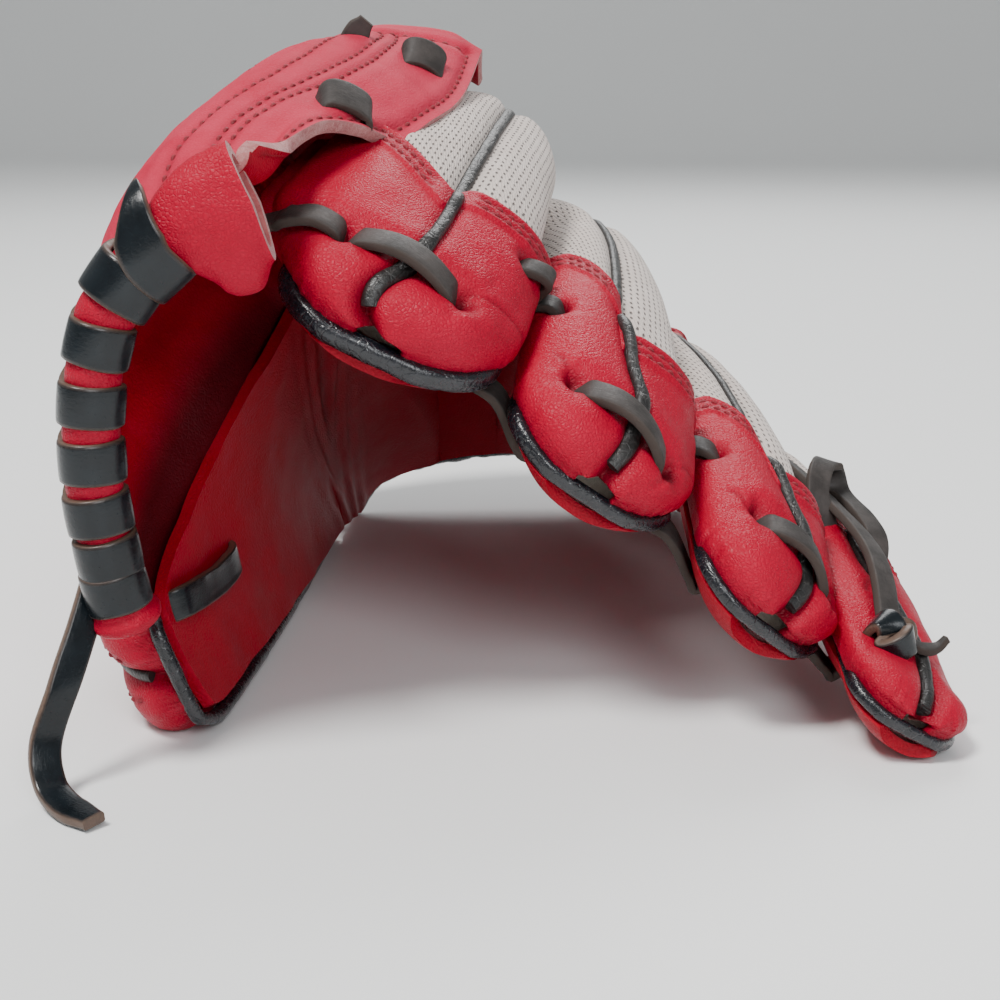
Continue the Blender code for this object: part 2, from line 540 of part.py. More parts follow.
c, w, d, n = finger_frame(pf, 16.0)
ys = np.linspace(14.0, length_of(pf) - 10.0, 5)
sheet_solid("pinky_stiffener",
            np.array([[finger_frame(pf, y)[0] + finger_frame(pf, y)[1] * half_width(pf, y) * q + finger_frame(pf, y)[3] * 1.8
                       for q in np.linspace(-0.5, 0.5, 3)] for y in ys]),
            np.array([[finger_frame(pf, y)[0] + finger_frame(pf, y)[1] * half_width(pf, y) * q + finger_frame(pf, y)[3] * 3.0
                       for q in np.linspace(-0.5, 0.5, 3)] for y in ys]), PLASTIC, 0.5)

# ---------------------------------------------------------------- placing

SHIFT = np.array((-3.28, 9.48, -0.53))      # brings the middle of the underside to the origin
STRAP_HINGE = (SG[0, 0] + SG[-1, 0]) / 2 + SN[1, 0] * 4.5
PIVOT = {}
for name in ("thumb_cover_lower", "thumb_cover_upper", "thumb_welt", "thumb_binding", "thumb_felt_pad",
             "thumb_stiffener", "thumb_palm_lace", "web_lace_tail"):
    PIVOT[name] = np.array(FOLD_A)
for name in ("wrist_strap", "strap_hook_patch"):
    PIVOT[name] = STRAP_HINGE
for obj in list(glove.objects):
    pivot = PIVOT.get(obj.name, np.zeros(3))
    obj.data.transform(Matrix.Translation(-pivot * MM))
    obj.location = (pivot + SHIFT) * MM
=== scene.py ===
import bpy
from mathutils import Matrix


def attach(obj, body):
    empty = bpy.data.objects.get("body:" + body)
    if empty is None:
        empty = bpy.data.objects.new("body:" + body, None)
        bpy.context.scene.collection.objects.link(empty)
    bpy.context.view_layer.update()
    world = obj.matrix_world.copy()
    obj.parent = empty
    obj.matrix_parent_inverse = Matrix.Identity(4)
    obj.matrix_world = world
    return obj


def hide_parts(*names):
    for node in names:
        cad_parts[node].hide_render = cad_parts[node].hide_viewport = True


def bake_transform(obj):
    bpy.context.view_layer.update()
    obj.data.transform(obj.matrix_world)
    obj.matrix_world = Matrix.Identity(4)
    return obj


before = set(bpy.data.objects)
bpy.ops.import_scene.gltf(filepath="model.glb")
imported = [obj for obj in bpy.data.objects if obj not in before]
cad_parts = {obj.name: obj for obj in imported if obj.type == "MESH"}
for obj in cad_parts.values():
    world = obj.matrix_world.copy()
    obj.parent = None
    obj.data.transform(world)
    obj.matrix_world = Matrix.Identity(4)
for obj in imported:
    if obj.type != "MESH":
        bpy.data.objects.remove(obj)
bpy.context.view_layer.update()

import math

import bpy
import numpy as np

# Youth baseball glove, palm down, finger tips towards -Y. Shapes are worked out in
# millimetres in the drawing frame of the part and moved by SHIFT into the row frame.
MM = 0.001
SHIFT = np.array((-3.28, 9.48, -0.53))
PALM_PLANE = 0.4
RIM = 2.0
LEATHER = 2.0
FOLD_A, FOLD_B = np.array((-40.0, -24.0, 74.0)), np.array((-33.0, 44.0, 2.0))
FINGERS = {
    "index":  dict(tip=(-18.6, -77.0, 61.2), base=(-5.5, 2.0, 81.5), arch=4.0, roll=(25.0, 34.0), half=(19.4, 15.2), crown=(8.8, 14.5), pad=2.8, flange=5.0, edge=(1.5, 1.75),
                   welt=(-0.30, -0.05, 0.0, 0.01, 0.0, -0.02), hem=(50.0, 41.0, 29.5, 32.0, 33.0, 35.5),
                   runs=[(-0.42, 10.3, 0.31, 8.0)], holes=[(-0.45, 10.5), (0.33, 8.0), (0.56, 25.2)],
                   creases=[(0.34, 10.0, 17.0, 0.30), (-0.50, 12.0, 6.0, 2.2)]),
    "middle": dict(tip=(13.0, -76.5, 39.6), base=(11.5, 2.0, 58.5), arch=5.0, roll=(35.0, 45.0), half=(16.2, 13.0), crown=(7.4, 16.0), pad=4.6, edge=(1.15, 1.35),
                   welt=(0.0, 0.07, 0.04, -0.06, -0.2, -0.2), hem=(50.0, 49.0, 38.0, 28.0, 28.0, 30.0),
                   runs=[(-0.42, 10.8, 0.42, 6.0)], holes=[(-0.45, 11.0), (0.45, 6.0), (-0.73, 29.2), (0.84, 22.4)],
                   creases=[(0.45, 7.5, 9.0, 0.6), (-0.50, 12.5, 6.0, 2.2)]),
    "ring":   dict(tip=(40.2, -77.0, 18.6), base=(29.0, 3.0, 37.0), arch=5.0, roll=(40.0, 46.0), half=(13.6, 10.8), crown=(6.4, 14.5), pad=4.8, edge=(0.95, 1.15),
                   welt=(0.05, 0.14, 0.12, 0.02, -0.2, -0.2), hem=(46.0, 46.0, 36.0, 29.0, 29.0, 30.0),
                   runs=[(-0.36, 14.0, 0.45, 8.0)], holes=[(-0.39, 14.2), (0.48, 8.0), (-0.78, 29.2)],
                   creases=[(0.48, 9.5, 7.0, 0.5), (-0.52, 15.0, 5.0, 2.3)]),
    "pinky":  dict(tip=(61.2, -86.0, 5.9), base=(51.6, 3.0, 18.5), arch=3.0, roll=(31.0, 42.0), half=(9.6, 8.8), crown=(3.4, 9.5), pad=3.0, edge=(0.9, 1.05),
                   welt=(0.0, 0.1, 0.1, 0.05, -0.2, -0.2), hem=(54.0, 54.0, 50.0, 48.0, 46.0, 46.0),
                   runs=[], holes=[(-0.30, 13.5)],
                   creases=[(0.25, 14.0, 6.0, 0.7), (-0.40, 26.0, 6.0, 1.2)]),
}
NAMES = list(FINGERS)


# ------------------------------------------------------------------ mathematics

def unit(v):
    v = np.asarray(v, float)
    return v / np.maximum(np.linalg.norm(v, axis=-1, keepdims=True), 1e-12)


def ease(x, a, b):
    t = np.clip((np.asarray(x, float) - a) / (b - a), 0, 1)
    return t * t * (3 - 2 * t)


def bell(x, width):
    return np.exp(-(np.asarray(x, float) / width) ** 2)


def spline(points, n):
    p = np.asarray(points, float)
    ext = np.vstack([2 * p[0] - p[1], p, 2 * p[-1] - p[-2]])
    fine = []
    for i in range(1, len(ext) - 2):
        a, b, c, d = ext[i - 1:i + 3]
        t = np.linspace(0, 1, 24, endpoint=False)[:, None]
        fine.append(0.5 * (2 * b + (c - a) * t + (2 * a - 5 * b + 4 * c - d) * t * t
                           + (3 * b - a - 3 * c + d) * t ** 3))
    fine = np.vstack(fine + [p[-1:]])
    run = np.concatenate([[0], np.cumsum(np.linalg.norm(np.diff(fine, axis=0), axis=1))])
    s = np.linspace(0, run[-1], n)
    return np.stack([np.interp(s, run, fine[:, k]) for k in range(fine.shape[1])], 1)


def patch(net, rows, cols):
    across = np.array([spline(r, cols) for r in net])
    return np.array([spline(across[:, j], rows) for j in range(cols)]).transpose(1, 0, 2)


def normals_of(grid, outward):
    n = unit(np.cross(np.gradient(grid, axis=0), np.gradient(grid, axis=1)))
    if (n.reshape(-1, 3).mean(0) @ np.asarray(outward, float)) < 0:
        n = -n
    return n


def ripple(p, size, seed, octaves=2):
    """A smooth repeatable ripple over points, about -1 to 1, with waves of the given size in mm."""
    rng = np.random.default_rng(seed)
    p = np.asarray(p, float) / size
    total, norm = 0.0, 0.0
    for o in range(octaves):
        acc = 0.0
        for k in range(6):
            v = unit(rng.normal(size=3)) * (0.75 + 0.5 * rng.random()) * 2.0 ** o * math.tau * 0.6
            acc = acc + np.sin(p @ v + rng.random() * math.tau)
        total = total + acc / 2.6 * 0.55 ** o
        norm += 0.55 ** o
    return total / norm


def sample(grid, i, j):
    """Points of a grid at fractional rows and columns."""
    i = np.clip(np.asarray(i, float), 0, grid.shape[0] - 1.001)
    j = np.clip(np.asarray(j, float), 0, grid.shape[1] - 1.001)
    a, b = i.astype(int), j.astype(int)
    u, v = (i - a)[:, None], (j - b)[:, None]
    return (grid[a, b] * (1 - u) * (1 - v) + grid[a + 1, b] * u * (1 - v)
            + grid[a, b + 1] * (1 - u) * v + grid[a + 1, b + 1] * u * v)


def nearest(points, line):
    """Distance of each point to a line of points, and where along the line the nearest one is."""
    flat = points.reshape(-1, 3)
    line = np.asarray(line, float)
    run = np.concatenate([[0], np.cumsum(np.linalg.norm(np.diff(line, axis=0), axis=1))])
    dist, along = np.empty(len(flat)), np.empty(len(flat))
    for k in range(0, len(flat), 4000):
        d2 = ((flat[k:k + 4000, None, :] - line[None]) ** 2).sum(-1)
        m = d2.argmin(1)
        dist[k:k + 4000] = np.sqrt(d2[np.arange(len(m)), m])
        along[k:k + 4000] = run[m]
    return dist.reshape(points.shape[:-1]), along.reshape(points.shape[:-1])


# ------------------------------------------------------------------ mesh building

def build(name, verts, faces, mats, face_mat=None, uv=None, attrs=None, crease=55):
    """One closed mesh, outward facing, in the row frame."""
    verts = np.asarray(verts, float).copy()
    verts[:, 2] = np.maximum(verts[:, 2], 0.56)          # what rests on the floor is pressed flat
    tri_a, tri_b, tri_c = [], [], []
    for f in faces:
        for k in range(1, len(f) - 1):
            tri_a.append(f[0]); tri_b.append(f[k]); tri_c.append(f[k + 1])
    vol = (verts[tri_a] * np.cross(verts[tri_b], verts[tri_c])).sum()
    if vol < 0:
        faces = [tuple(f)[::-1] for f in faces]
    me = bpy.data.meshes.new(name)
    me.from_pydata(((verts + SHIFT) * MM).tolist(), [], [tuple(int(i) for i in f) for f in faces])
    for m in mats:
        me.materials.append(m)
    if face_mat is not None:
        me.polygons.foreach_set("material_index", np.asarray(face_mat, np.int32))
    me.polygons.foreach_set("use_smooth", np.ones(len(me.polygons), bool))
    if uv is not None:
        layer = me.uv_layers.new(name="UVMap")
        idx = np.empty(len(me.loops), np.int32)
        me.loops.foreach_get("vertex_index", idx)
        layer.data.foreach_set("uv", np.asarray(uv, np.float32)[idx].ravel())
    # wear is real rubbing and raw-edge colour; the other mask is painted shade for creases and recesses
    for key in ("wear", "painted_shade"):
        values = (attrs or {}).get(key)
        at = me.attributes.new(key, "FLOAT", "POINT")
        at.data.foreach_set("value", np.zeros(len(verts), np.float32) if values is None
                            else np.asarray(values, np.float32).ravel())
    me.update()
    me.set_sharp_from_angle(angle=math.radians(crease))
    obj = bpy.data.objects.new(name, me)
    bpy.context.scene.collection.objects.link(obj)
    return obj


def ring_of(rows, cols):
    """Grid indices round the border of a grid, and the neighbour just inside each."""
    path = [(0, j) for j in range(cols)] + [(i, cols - 1) for i in range(1, rows)]
    path += [(rows - 1, j) for j in range(cols - 2, -1, -1)] + [(i, 0) for i in range(rows - 2, 0, -1)]
    inner = [(min(max(i, 1), rows - 2), min(max(j, 1), cols - 2)) for i, j in path]
    return path, inner


def shell(name, top, bottom, mats, uv=None, attrs=None, lip=0.15, edge_wear=0.0):
    """A sheet between two grids: faces (mat 0), rounded rim (mat 1) and underside (mat 2)."""
    rows, cols = top.shape[:2]
    n = rows * cols
    idx = np.arange(n).reshape(rows, cols)
    verts = [top.reshape(-1, 3), bottom.reshape(-1, 3)]
    quad = np.stack([idx[:-1, :-1], idx[:-1, 1:], idx[1:, 1:], idx[1:, :-1]], -1).reshape(-1, 4)
    faces = [tuple(f) for f in quad] + [tuple(f[::-1] + n) for f in quad]
    face_mat = [0] * len(quad) + [2] * len(quad)
    path, inner = ring_of(rows, cols)
    pi = np.array([idx[p] for p in path])
    ii = np.array([idx[p] for p in inner])
    tp, bp = verts[0][pi], verts[1][pi]
    out = unit((tp + bp) / 2 - (verts[0][ii] + verts[1][ii]) / 2)
    m = len(pi)
    loops = [pi]
    for k, s in enumerate((0.16, 0.5, 0.84)):
        verts.append(tp * (1 - s) + bp * s + out * lip * (4 * s * (1 - s)) ** 0.5)
        loops.append(2 * n + k * m + np.arange(m))
    loops.append(pi + n)
    for a, b in zip(loops, loops[1:]):
        for k in range(m):
            k2 = (k + 1) % m
            faces.append((a[k2], a[k], b[k], b[k2]))
            face_mat.append(1)
    full_uv = None
    if uv is not None:
        u = uv.reshape(-1, 2)
        full_uv = np.vstack([u, u] + [u[pi]] * 3)
    full = {}
    for key, v in (attrs or {}).items():
        v = np.asarray(v, float).reshape(-1)
        full[key] = np.concatenate([v, v] + [v[pi]] * 3)
    if edge_wear:
        v = full.get("wear", np.zeros(2 * n + 3 * m))
        v[pi] = np.maximum(v[pi], edge_wear)
        v[2 * n:] = np.maximum(v[2 * n:], edge_wear)
        full["wear"] = v
    return build(name, np.vstack(verts), faces, mats, face_mat, full_uv, full)


def loft(name, rings, mats, uv_step=None, attrs=None, caps=True, crease=55, cap_mat=0):
    """A closed body through rings of points (n rings of m points), with its ends capped."""
    rings = np.asarray(rings, float)
    n, m = rings.shape[:2]
    idx = np.arange(n * m).reshape(n, m)
    faces, face_mat = [], []
    for a, b in zip(idx, idx[1:]):
        for k in range(m):
            faces.append((a[k], a[(k + 1) % m], b[(k + 1) % m], b[k]))
            face_mat.append(0)
    if caps:
        faces += [tuple(idx[0][::-1]), tuple(idx[-1])]
        face_mat += [cap_mat, cap_mat]
    run = np.concatenate([[0], np.cumsum(np.linalg.norm(np.diff(rings.mean(1), axis=0), axis=1))])
    uv = np.stack([np.repeat(run, m), np.tile(np.arange(m) / m, n)], -1)
    return build(name, rings.reshape(-1, 3), faces, mats, face_mat, uv, attrs, crease)


STRIP = np.array([(-.5, -.3), (-.5, .3), (-.47, .46), (-.4, .5), (-.2, .53), (0, .54), (.2, .53), (.4, .5), (.47, .46), (.5, .3),
                  (.5, -.3), (.47, -.46), (.4, -.5), (.2, -.5), (0, -.5), (-.2, -.5), (-.4, -.5), (-.47, -.46)])


def lace(name, path, across, width, thick, mats, seed=1, wander=0.05):
    """A flat leather lace along a path; its cut sides carry the raw-edge colour."""
    p = np.asarray(path, float)
    t = unit(np.gradient(p, axis=0))
    w = np.broadcast_to(np.asarray(across, float), p.shape)
    w = unit(w - (w * t).sum(1, keepdims=True) * t)
    nrm = np.cross(t, w)
    width = np.broadcast_to(np.asarray(width, float), len(p)) * (1 + wander * ripple(p, 7.0, seed))
    thick = np.broadcast_to(np.asarray(thick, float), len(p)) * (1 + wander * 1.5 * ripple(p, 5.0, seed + 7))
    rings = (p[:, None] + w[:, None] * (STRIP[None, :, :1] * width[:, None, None])
             + nrm[:, None] * (STRIP[None, :, 1:] * thick[:, None, None]))
    side = (np.abs(STRIP[:, 0]) > 0.485).astype(float) + 0.35 * (np.abs(np.abs(STRIP[:, 0]) - 0.47) < 0.01)
    wear = np.tile(side, len(p)).reshape(len(p), -1)
    wear[0] = wear[-1] = 1.0
    return loft(name, rings, mats, attrs={"wear": wear}, crease=60)


def rope(name, path, up, ra, rb, mats, seed=1, rough=0.10, sides=16, square=0.85, attrs=None):
    """A rolled leather strip: a soft-cornered section, ra across and rb along up, puckered along its length."""
    p = np.asarray(path, float)
    t = unit(np.gradient(p, axis=0))
    u = np.broadcast_to(np.asarray(up, float), p.shape)
    u = unit(u - (u * t).sum(1, keepdims=True) * t)
    s = np.cross(t, u)
    a = np.linspace(0, math.tau, sides, endpoint=False)
    ca, sa = np.cos(a), np.sin(a)
    ca, sa = np.sign(ca) * np.abs(ca) ** square, np.sign(sa) * np.abs(sa) ** square
    ra = np.broadcast_to(np.asarray(ra, float), len(p))[:, None, None]
    rb = np.broadcast_to(np.asarray(rb, float), len(p))[:, None, None]
    rings = p[:, None] + s[:, None] * ca[None, :, None] * ra + u[:, None] * sa[None, :, None] * rb
    out = unit(rings - p[:, None])
    rings = rings + out * (rough * (ripple(rings, 3.4, seed) + 0.6 * ripple(rings, 1.5, seed + 3)))[..., None] * ra.mean()
    return loft(name, rings, mats, crease=70)


STITCHES = {}


def sew(group, points, normals, pitch=2.5, length=1.75, radius=0.34, sink=0.05):
    """Add a row of thread stitches lying on a surface line to a named group."""
    p, n = np.asarray(points, float), unit(normals)
    run = np.concatenate([[0], np.cumsum(np.linalg.norm(np.diff(p, axis=0), axis=1))])
    count = int((run[-1] - length) // pitch)
    for k in range(count + 1):
        s = np.linspace(k * pitch, k * pitch + length, 6)
        c = np.stack([np.interp(s, run, p[:, i]) for i in range(3)], 1)
        nn = unit(np.stack([np.interp(s, run, n[:, i]) for i in range(3)], 1))
        t = unit(np.gradient(c, axis=0))
        side = np.cross(t, nn)
        lift = np.array([-0.32, -0.02, 0.13, 0.13, -0.02, -0.32]) * (radius / 0.34) - sink
        fat = np.array([0.45, 0.9, 1.0, 1.0, 0.9, 0.45]) * radius
        c = c + nn * lift[:, None]
        a = np.linspace(0, math.tau, 7, endpoint=False)
        STITCHES.setdefault(group, []).append(
            c[:, None] + (side[:, None] * np.cos(a)[None, :, None] + nn[:, None] * np.sin(a)[None, :, None]) * fat[:, None, None])


def stitch_object(group, mat):
    rings = STITCHES.pop(group)
    verts, faces, off = [], [], 0
    for r in rings:
        n, m = r.shape[:2]
        idx = np.arange(n * m).reshape(n, m) + off
        for a, b in zip(idx, idx[1:]):
            faces += [(a[k], a[(k + 1) % m], b[(k + 1) % m], b[k]) for k in range(m)]
        faces += [tuple(idx[0][::-1]), tuple(idx[-1])]
        verts.append(r.reshape(-1, 3))
        off += n * m
    return build(group, np.vstack(verts), faces, [mat], crease=80)


def thick_mesh(name, verts, faces, normals, thick, mats, attrs=None):
    """A sheet of any layout given its inner face, thickened along minus the normals."""
    n = len(verts)
    outer = verts - normals * thick
    edges = {}
    for f in faces:
        for a, b in zip(f, f[1:] + f[:1]):
            edges[(a, b)] = edges.get((a, b), 0) + 1
    allf = [tuple(f) for f in faces] + [tuple(i + n for i in f[::-1]) for f in faces]
    fm = [2] * len(faces) + [0] * len(faces)
    for (a, b) in edges:
        if (b, a) not in edges:
            allf.append((b, a, a + n, b + n))
            fm.append(1)
    full = {k: np.concatenate([v, v]) for k, v in (attrs or {}).items()}
    return build(name, np.vstack([verts, outer]), allf, mats, fm, None, full)


# ------------------------------------------------------------------ materials

class Nodes:
    def __init__(self, name):
        self.mat = bpy.data.materials.new(name)
        self.mat.use_nodes = True
        self.tree = self.mat.node_tree
        self.bsdf = self.tree.nodes["Principled BSDF"]
        self.count = 0

    def add(self, kind, inputs=None, **props):
        node = self.tree.nodes.new(kind)
        self.count += 1
        node.location = (-220 * (self.count % 9) - 250, -180 * (self.count // 9))
        for k, v in props.items():
            setattr(node, k, v)
        for k, v in (inputs or {}).items():
            self.put(node, k, v)
        return node

    def put(self, node, key, value):
        sock = node.inputs[key]
        if isinstance(value, bpy.types.NodeSocket):
            self.tree.links.new(value, sock)
        else:
            sock.default_value = value

    def math(self, op, a, b=0.0, clamp=False):
        return self.add("ShaderNodeMath", {0: a, 1: b}, operation=op, use_clamp=clamp).outputs[0]

    def mix(self, fac, a, b):
        n = self.add("ShaderNodeMix", data_type="RGBA")
        self.put(n, 0, fac); self.put(n, 6, a); self.put(n, 7, b)
        return n.outputs[2]

    def range(self, value, a, b, c=0.0, d=1.0):
        return self.add("ShaderNodeMapRange", {0: value, 1: a, 2: b, 3: c, 4: d}).outputs[0]

    def noise(self, vec, scale, detail=3.0, rough=0.55, dist=0.0):
        n = self.add("ShaderNodeTexNoise", {"Vector": vec, "Scale": scale, "Detail": detail, "Roughness": rough, "Distortion": dist})
        return n.outputs[0]

    def cells(self, vec, scale, feature="DISTANCE_TO_EDGE", randomness=1.0):
        n = self.add("ShaderNodeTexVoronoi", feature=feature)
        self.put(n, "Vector", vec); self.put(n, "Scale", scale); self.put(n, "Randomness", randomness)
        return n.outputs[0]

    def attr(self, name):
        return self.add("ShaderNodeAttribute", attribute_name=name).outputs[2]

    def bump(self, height, strength, distance, under=None):
        n = self.add("ShaderNodeBump", {"Height": height, "Strength": strength, "Distance": distance})
        if under is not None:
            self.put(n, "Normal", under)
        return n.outputs[0]

    def finish(self, **sockets):
        for k, v in sockets.items():
            self.put(self.bsdf, k.replace("_", " "), v)
        return self.mat


def rgb(r, g, b):
    return (r, g, b, 1.0)


def leather(name, base, dark, light, rough=(0.34, 0.52), grain=0.9, depth=1.0, coat=0.0, mottle=0.5, spec=0.36):
    m = Nodes(name)
    pos = m.add("ShaderNodeTexCoord").outputs["Object"]
    warp = m.add("ShaderNodeTexNoise", {"Vector": pos, "Scale": 260.0, "Detail": 2.0}).outputs[1]
    bent = m.add("ShaderNodeVectorMath", operation="MULTIPLY_ADD")
    m.put(bent, 0, warp); m.put(bent, 1, (0.0011,) * 3); m.put(bent, 2, pos)
    bent = bent.outputs[0]
    pebble = m.cells(bent, 1000.0 / grain)
    pebble = m.range(pebble, 0.0, 0.28)
    fine = m.noise(pos, 2600.0, 3.0, 0.6)
    broad = m.noise(pos, 60.0, 4.0, 0.55, 0.4)
    blot = m.noise(pos, 210.0, 5.0, 0.6)
    crinkle = m.noise(bent, 520.0, 4.0, 0.65, 0.8)
    tone = m.range(m.math("ADD", m.math("MULTIPLY", broad, 0.6), m.math("MULTIPLY", blot, 0.4)), 0.36, 0.64)
    colour = m.mix(m.math("MULTIPLY", tone, mottle), base, light)
    colour = m.mix(m.math("MULTIPLY", m.math("SUBTRACT", 1.0, pebble), 0.14), colour, dark)
    wear = m.math("MULTIPLY", m.attr("wear"), m.range(blot, 0.30, 0.62), True)
    colour = m.mix(wear, colour, light)
    # painted shade: the per-point shade mask pulls the colour toward the dark tone in creases, grooves, lace holes and
    # stitch lines
    colour = m.mix(m.math("MULTIPLY", m.attr("painted_shade"), 0.88, True), colour, dark)
    r = m.range(m.math("ADD", m.math("MULTIPLY", fine, 0.4), m.math("MULTIPLY", blot, 0.6)), 0.3, 0.7, rough[0], rough[1])
    n = m.bump(crinkle, 0.30 * depth, 0.0005)
    n = m.bump(pebble, 0.34 * depth, 0.00016, n)
    n = m.bump(fine, 0.10 * depth, 0.00012, n)
    return m.finish(Base_Color=colour, Roughness=r, Normal=n, Coat_Weight=coat, Coat_Roughness=0.3, Specular_IOR_Level=spec)


RED = leather("red_leather", rgb(0.360, 0.0003, 0.0200), rgb(0.080, 0.0002, 0.005), rgb(0.43, 0.003, 0.030), (0.36, 0.50), 0.6, 1.35, 0.0, 0.5, 0.17)
FADED = leather("faded_red_leather", rgb(0.420, 0.007, 0.036), rgb(0.18, 0.001, 0.011), rgb(0.50, 0.036, 0.072), (0.62, 0.78), 0.6, 1.0, 0.0, 0.9, 0.14)
INNER = leather("pocket_leather", rgb(0.32, 0.0004, 0.0120), rgb(0.026, 0.0002, 0.002), rgb(0.38, 0.003, 0.022), (0.42, 0.56), 0.7, 1.0, 0.0, 0.5, 0.16)


def raw_edge(name, a, b, scale=900.0):
    m = Nodes(name)
    pos = m.add("ShaderNodeTexCoord").outputs["Object"]
    hair = m.noise(pos, scale, 6.0, 0.75, 1.2)
    patchy = m.noise(pos, 170.0, 3.0)
    colour = m.mix(m.range(m.math("ADD", m.math("MULTIPLY", hair, 0.6), m.math("MULTIPLY", patchy, 0.4)), 0.36, 0.62), a, b)
    return m.finish(Base_Color=colour, Roughness=m.range(hair, 0.2, 0.8, 0.8, 0.96), Normal=m.bump(hair, 0.8, 0.0005), Sheen_Weight=0.25,
                    Specular_IOR_Level=0.2)


CUT = raw_edge("cut_edge", rgb(0.30, 0.055, 0.062), rgb(0.50, 0.24, 0.23))
SUEDE = raw_edge("suede_underside", rgb(0.30, 0.045, 0.055), rgb(0.46, 0.13, 0.13), 700.0)


def trim(name, base, light, crack, rough=(0.16, 0.34), coat=0.25):
    m = Nodes(name)
    pos = m.add("ShaderNodeTexCoord").outputs["Object"]
    blot = m.noise(pos, 300.0, 5.0, 0.62, 0.5)
    lines = m.range(m.cells(pos, 620.0), 0.0, 0.10)
    fine = m.noise(pos, 1500.0, 4.0, 0.65)
    colour = m.mix(m.range(blot, 0.40, 0.70), base, light)
    colour = m.mix(m.math("MULTIPLY", m.math("SUBTRACT", 1.0, lines), m.range(blot, 0.45, 0.7, 0.0, 0.7)), colour, crack)
    colour = m.mix(m.math("MULTIPLY", m.attr("wear"), 0.85, True), colour, crack)
    n = m.bump(blot, 0.55, 0.0007)
    n = m.bump(lines, 0.35, 0.0002, n)
    n = m.bump(fine, 0.22, 0.0002, n)
    return m.finish(Base_Color=colour, Roughness=m.range(fine, 0.25, 0.75, rough[0], rough[1]), Normal=n, Coat_Weight=coat, Coat_Roughness=0.18)


BIND = trim("edge_binding", rgb(0.0035, 0.0040, 0.0065), rgb(0.009, 0.010, 0.015), rgb(0.035, 0.031, 0.032))
WELT = trim("finger_welt", rgb(0.009, 0.0086, 0.0088), rgb(0.024, 0.0225, 0.0215), rgb(0.045, 0.040, 0.038), (0.32, 0.52), 0.05)


def lace_leather(name, base, light, edge, rough, coat):
    m = Nodes(name)
    uv = m.add("ShaderNodeTexCoord").outputs["UV"]
    pos = m.add("ShaderNodeTexCoord").outputs["Object"]
    run = m.add("ShaderNodeMapping", {"Vector": uv, "Scale": (0.10, 9.0, 1.0)}).outputs[0]
    fibre = m.noise(run, 5.0, 5.0, 0.6, 0.3)
    blot = m.noise(pos, 240.0, 5.0, 0.62)
    fine = m.noise(pos, 1900.0, 4.0, 0.65)
    colour = m.mix(m.range(blot, 0.38, 0.68), base, light)
    colour = m.mix(m.math("MULTIPLY", m.range(fibre, 0.5, 0.7), 0.25), colour, light)
    raw = m.math("MULTIPLY", m.attr("wear"), m.range(fine, 0.25, 0.6, 0.55, 1.0), True)
    colour = m.mix(raw, colour, edge)
    r = m.math("ADD", m.range(fine, 0.3, 0.7, rough[0], rough[1]), m.math("MULTIPLY", m.attr("wear"), 0.35), True)
    n = m.bump(blot, 0.18, 0.0005)
    n = m.bump(fine, 0.22, 0.0002, n)
    n = m.bump(fibre, 0.20, 0.0002, n)
    return m.finish(Base_Color=colour, Roughness=r, Normal=n, Coat_Weight=coat, Coat_Roughness=0.22, Specular_IOR_Level=0.28)


LACE = lace_leather("lace_leather", rgb(0.0016, 0.0034, 0.0052), rgb(0.0050, 0.0085, 0.0115), rgb(0.110, 0.068, 0.048), (0.17, 0.29), 0.25)
LACE_GREY = lace_leather("lace_leather_worn", rgb(0.026, 0.0225, 0.0212), rgb(0.056, 0.0480, 0.0450), rgb(0.052, 0.039, 0.033), (0.44, 0.60), 0.0)


def knit(name):
    """Warp-knit mesh: staggered rows of small holes between twisted ribs, by surface distance in mm."""
    m = Nodes(name)
    uv = m.add("ShaderNodeTexCoord").outputs["UV"]
    split = m.add("ShaderNodeSeparateXYZ", {0: uv})
    jit = m.add("ShaderNodeTexNoise", {"Vector": uv, "Scale": 0.5, "Detail": 2.0}).outputs[0]
    u = m.math("ADD", m.math("DIVIDE", split.outputs[0], 1.25), m.math("MULTIPLY", jit, 0.5))
    v = m.math("ADD", m.math("DIVIDE", split.outputs[1], 1.75), m.math("MULTIPLY", jit, 0.5))
    row = m.math("FLOOR", u)
    stag = m.math("MULTIPLY", m.math("MODULO", row, 2.0), 0.5)
    fu = m.math("SUBTRACT", m.math("FRACT", u), 0.5)
    fv = m.math("SUBTRACT", m.math("FRACT", m.math("ADD", v, stag)), 0.5)
    lean = m.math("ADD", fv, m.math("MULTIPLY", fu, 0.45))
    d = m.math("SQRT", m.math("ADD", m.math("POWER", m.math("MULTIPLY", fu, 1.9), 2.0), m.math("POWER", m.math("MULTIPLY", lean, 1.35), 2.0)))
    hole = m.range(d, 0.18, 0.40)
    yarn = m.noise(uv, 7.0, 4.0, 0.7)
    rib = m.math("ABSOLUTE", m.math("SINE", m.math("MULTIPLY", m.math("ADD", u, m.math("MULTIPLY", v, 0.6)), math.pi * 2)))
    blot = m.noise(uv, 0.16, 4.0, 0.6)
    cloth = m.mix(m.range(yarn, 0.3, 0.7), rgb(0.46, 0.385, 0.345), rgb(0.68, 0.590, 0.540))
    cloth = m.mix(m.math("MULTIPLY", m.range(blot, 0.45, 0.75), 0.45), cloth, rgb(0.74, 0.66, 0.62))
    colour = m.mix(hole, rgb(0.075, 0.055, 0.048), cloth)
    # painted shade: the shade mask darkens the knit under the leather hem and along the welt
    colour = m.mix(m.math("MULTIPLY", m.attr("painted_shade"), 0.8, True), colour, rgb(0.05, 0.04, 0.035))
    n = m.bump(m.math("ADD", m.math("MULTIPLY", hole, 0.8), m.math("MULTIPLY", rib, 0.2)), 0.9, 0.00045)
    n = m.bump(yarn, 0.4, 0.00025, n)
    return m.finish(Base_Color=colour, Roughness=m.range(yarn, 0.2, 0.8, 0.62, 0.9), Normal=n, Sheen_Weight=0.2, Specular_IOR_Level=0.3)


MESH = knit("knit_mesh")


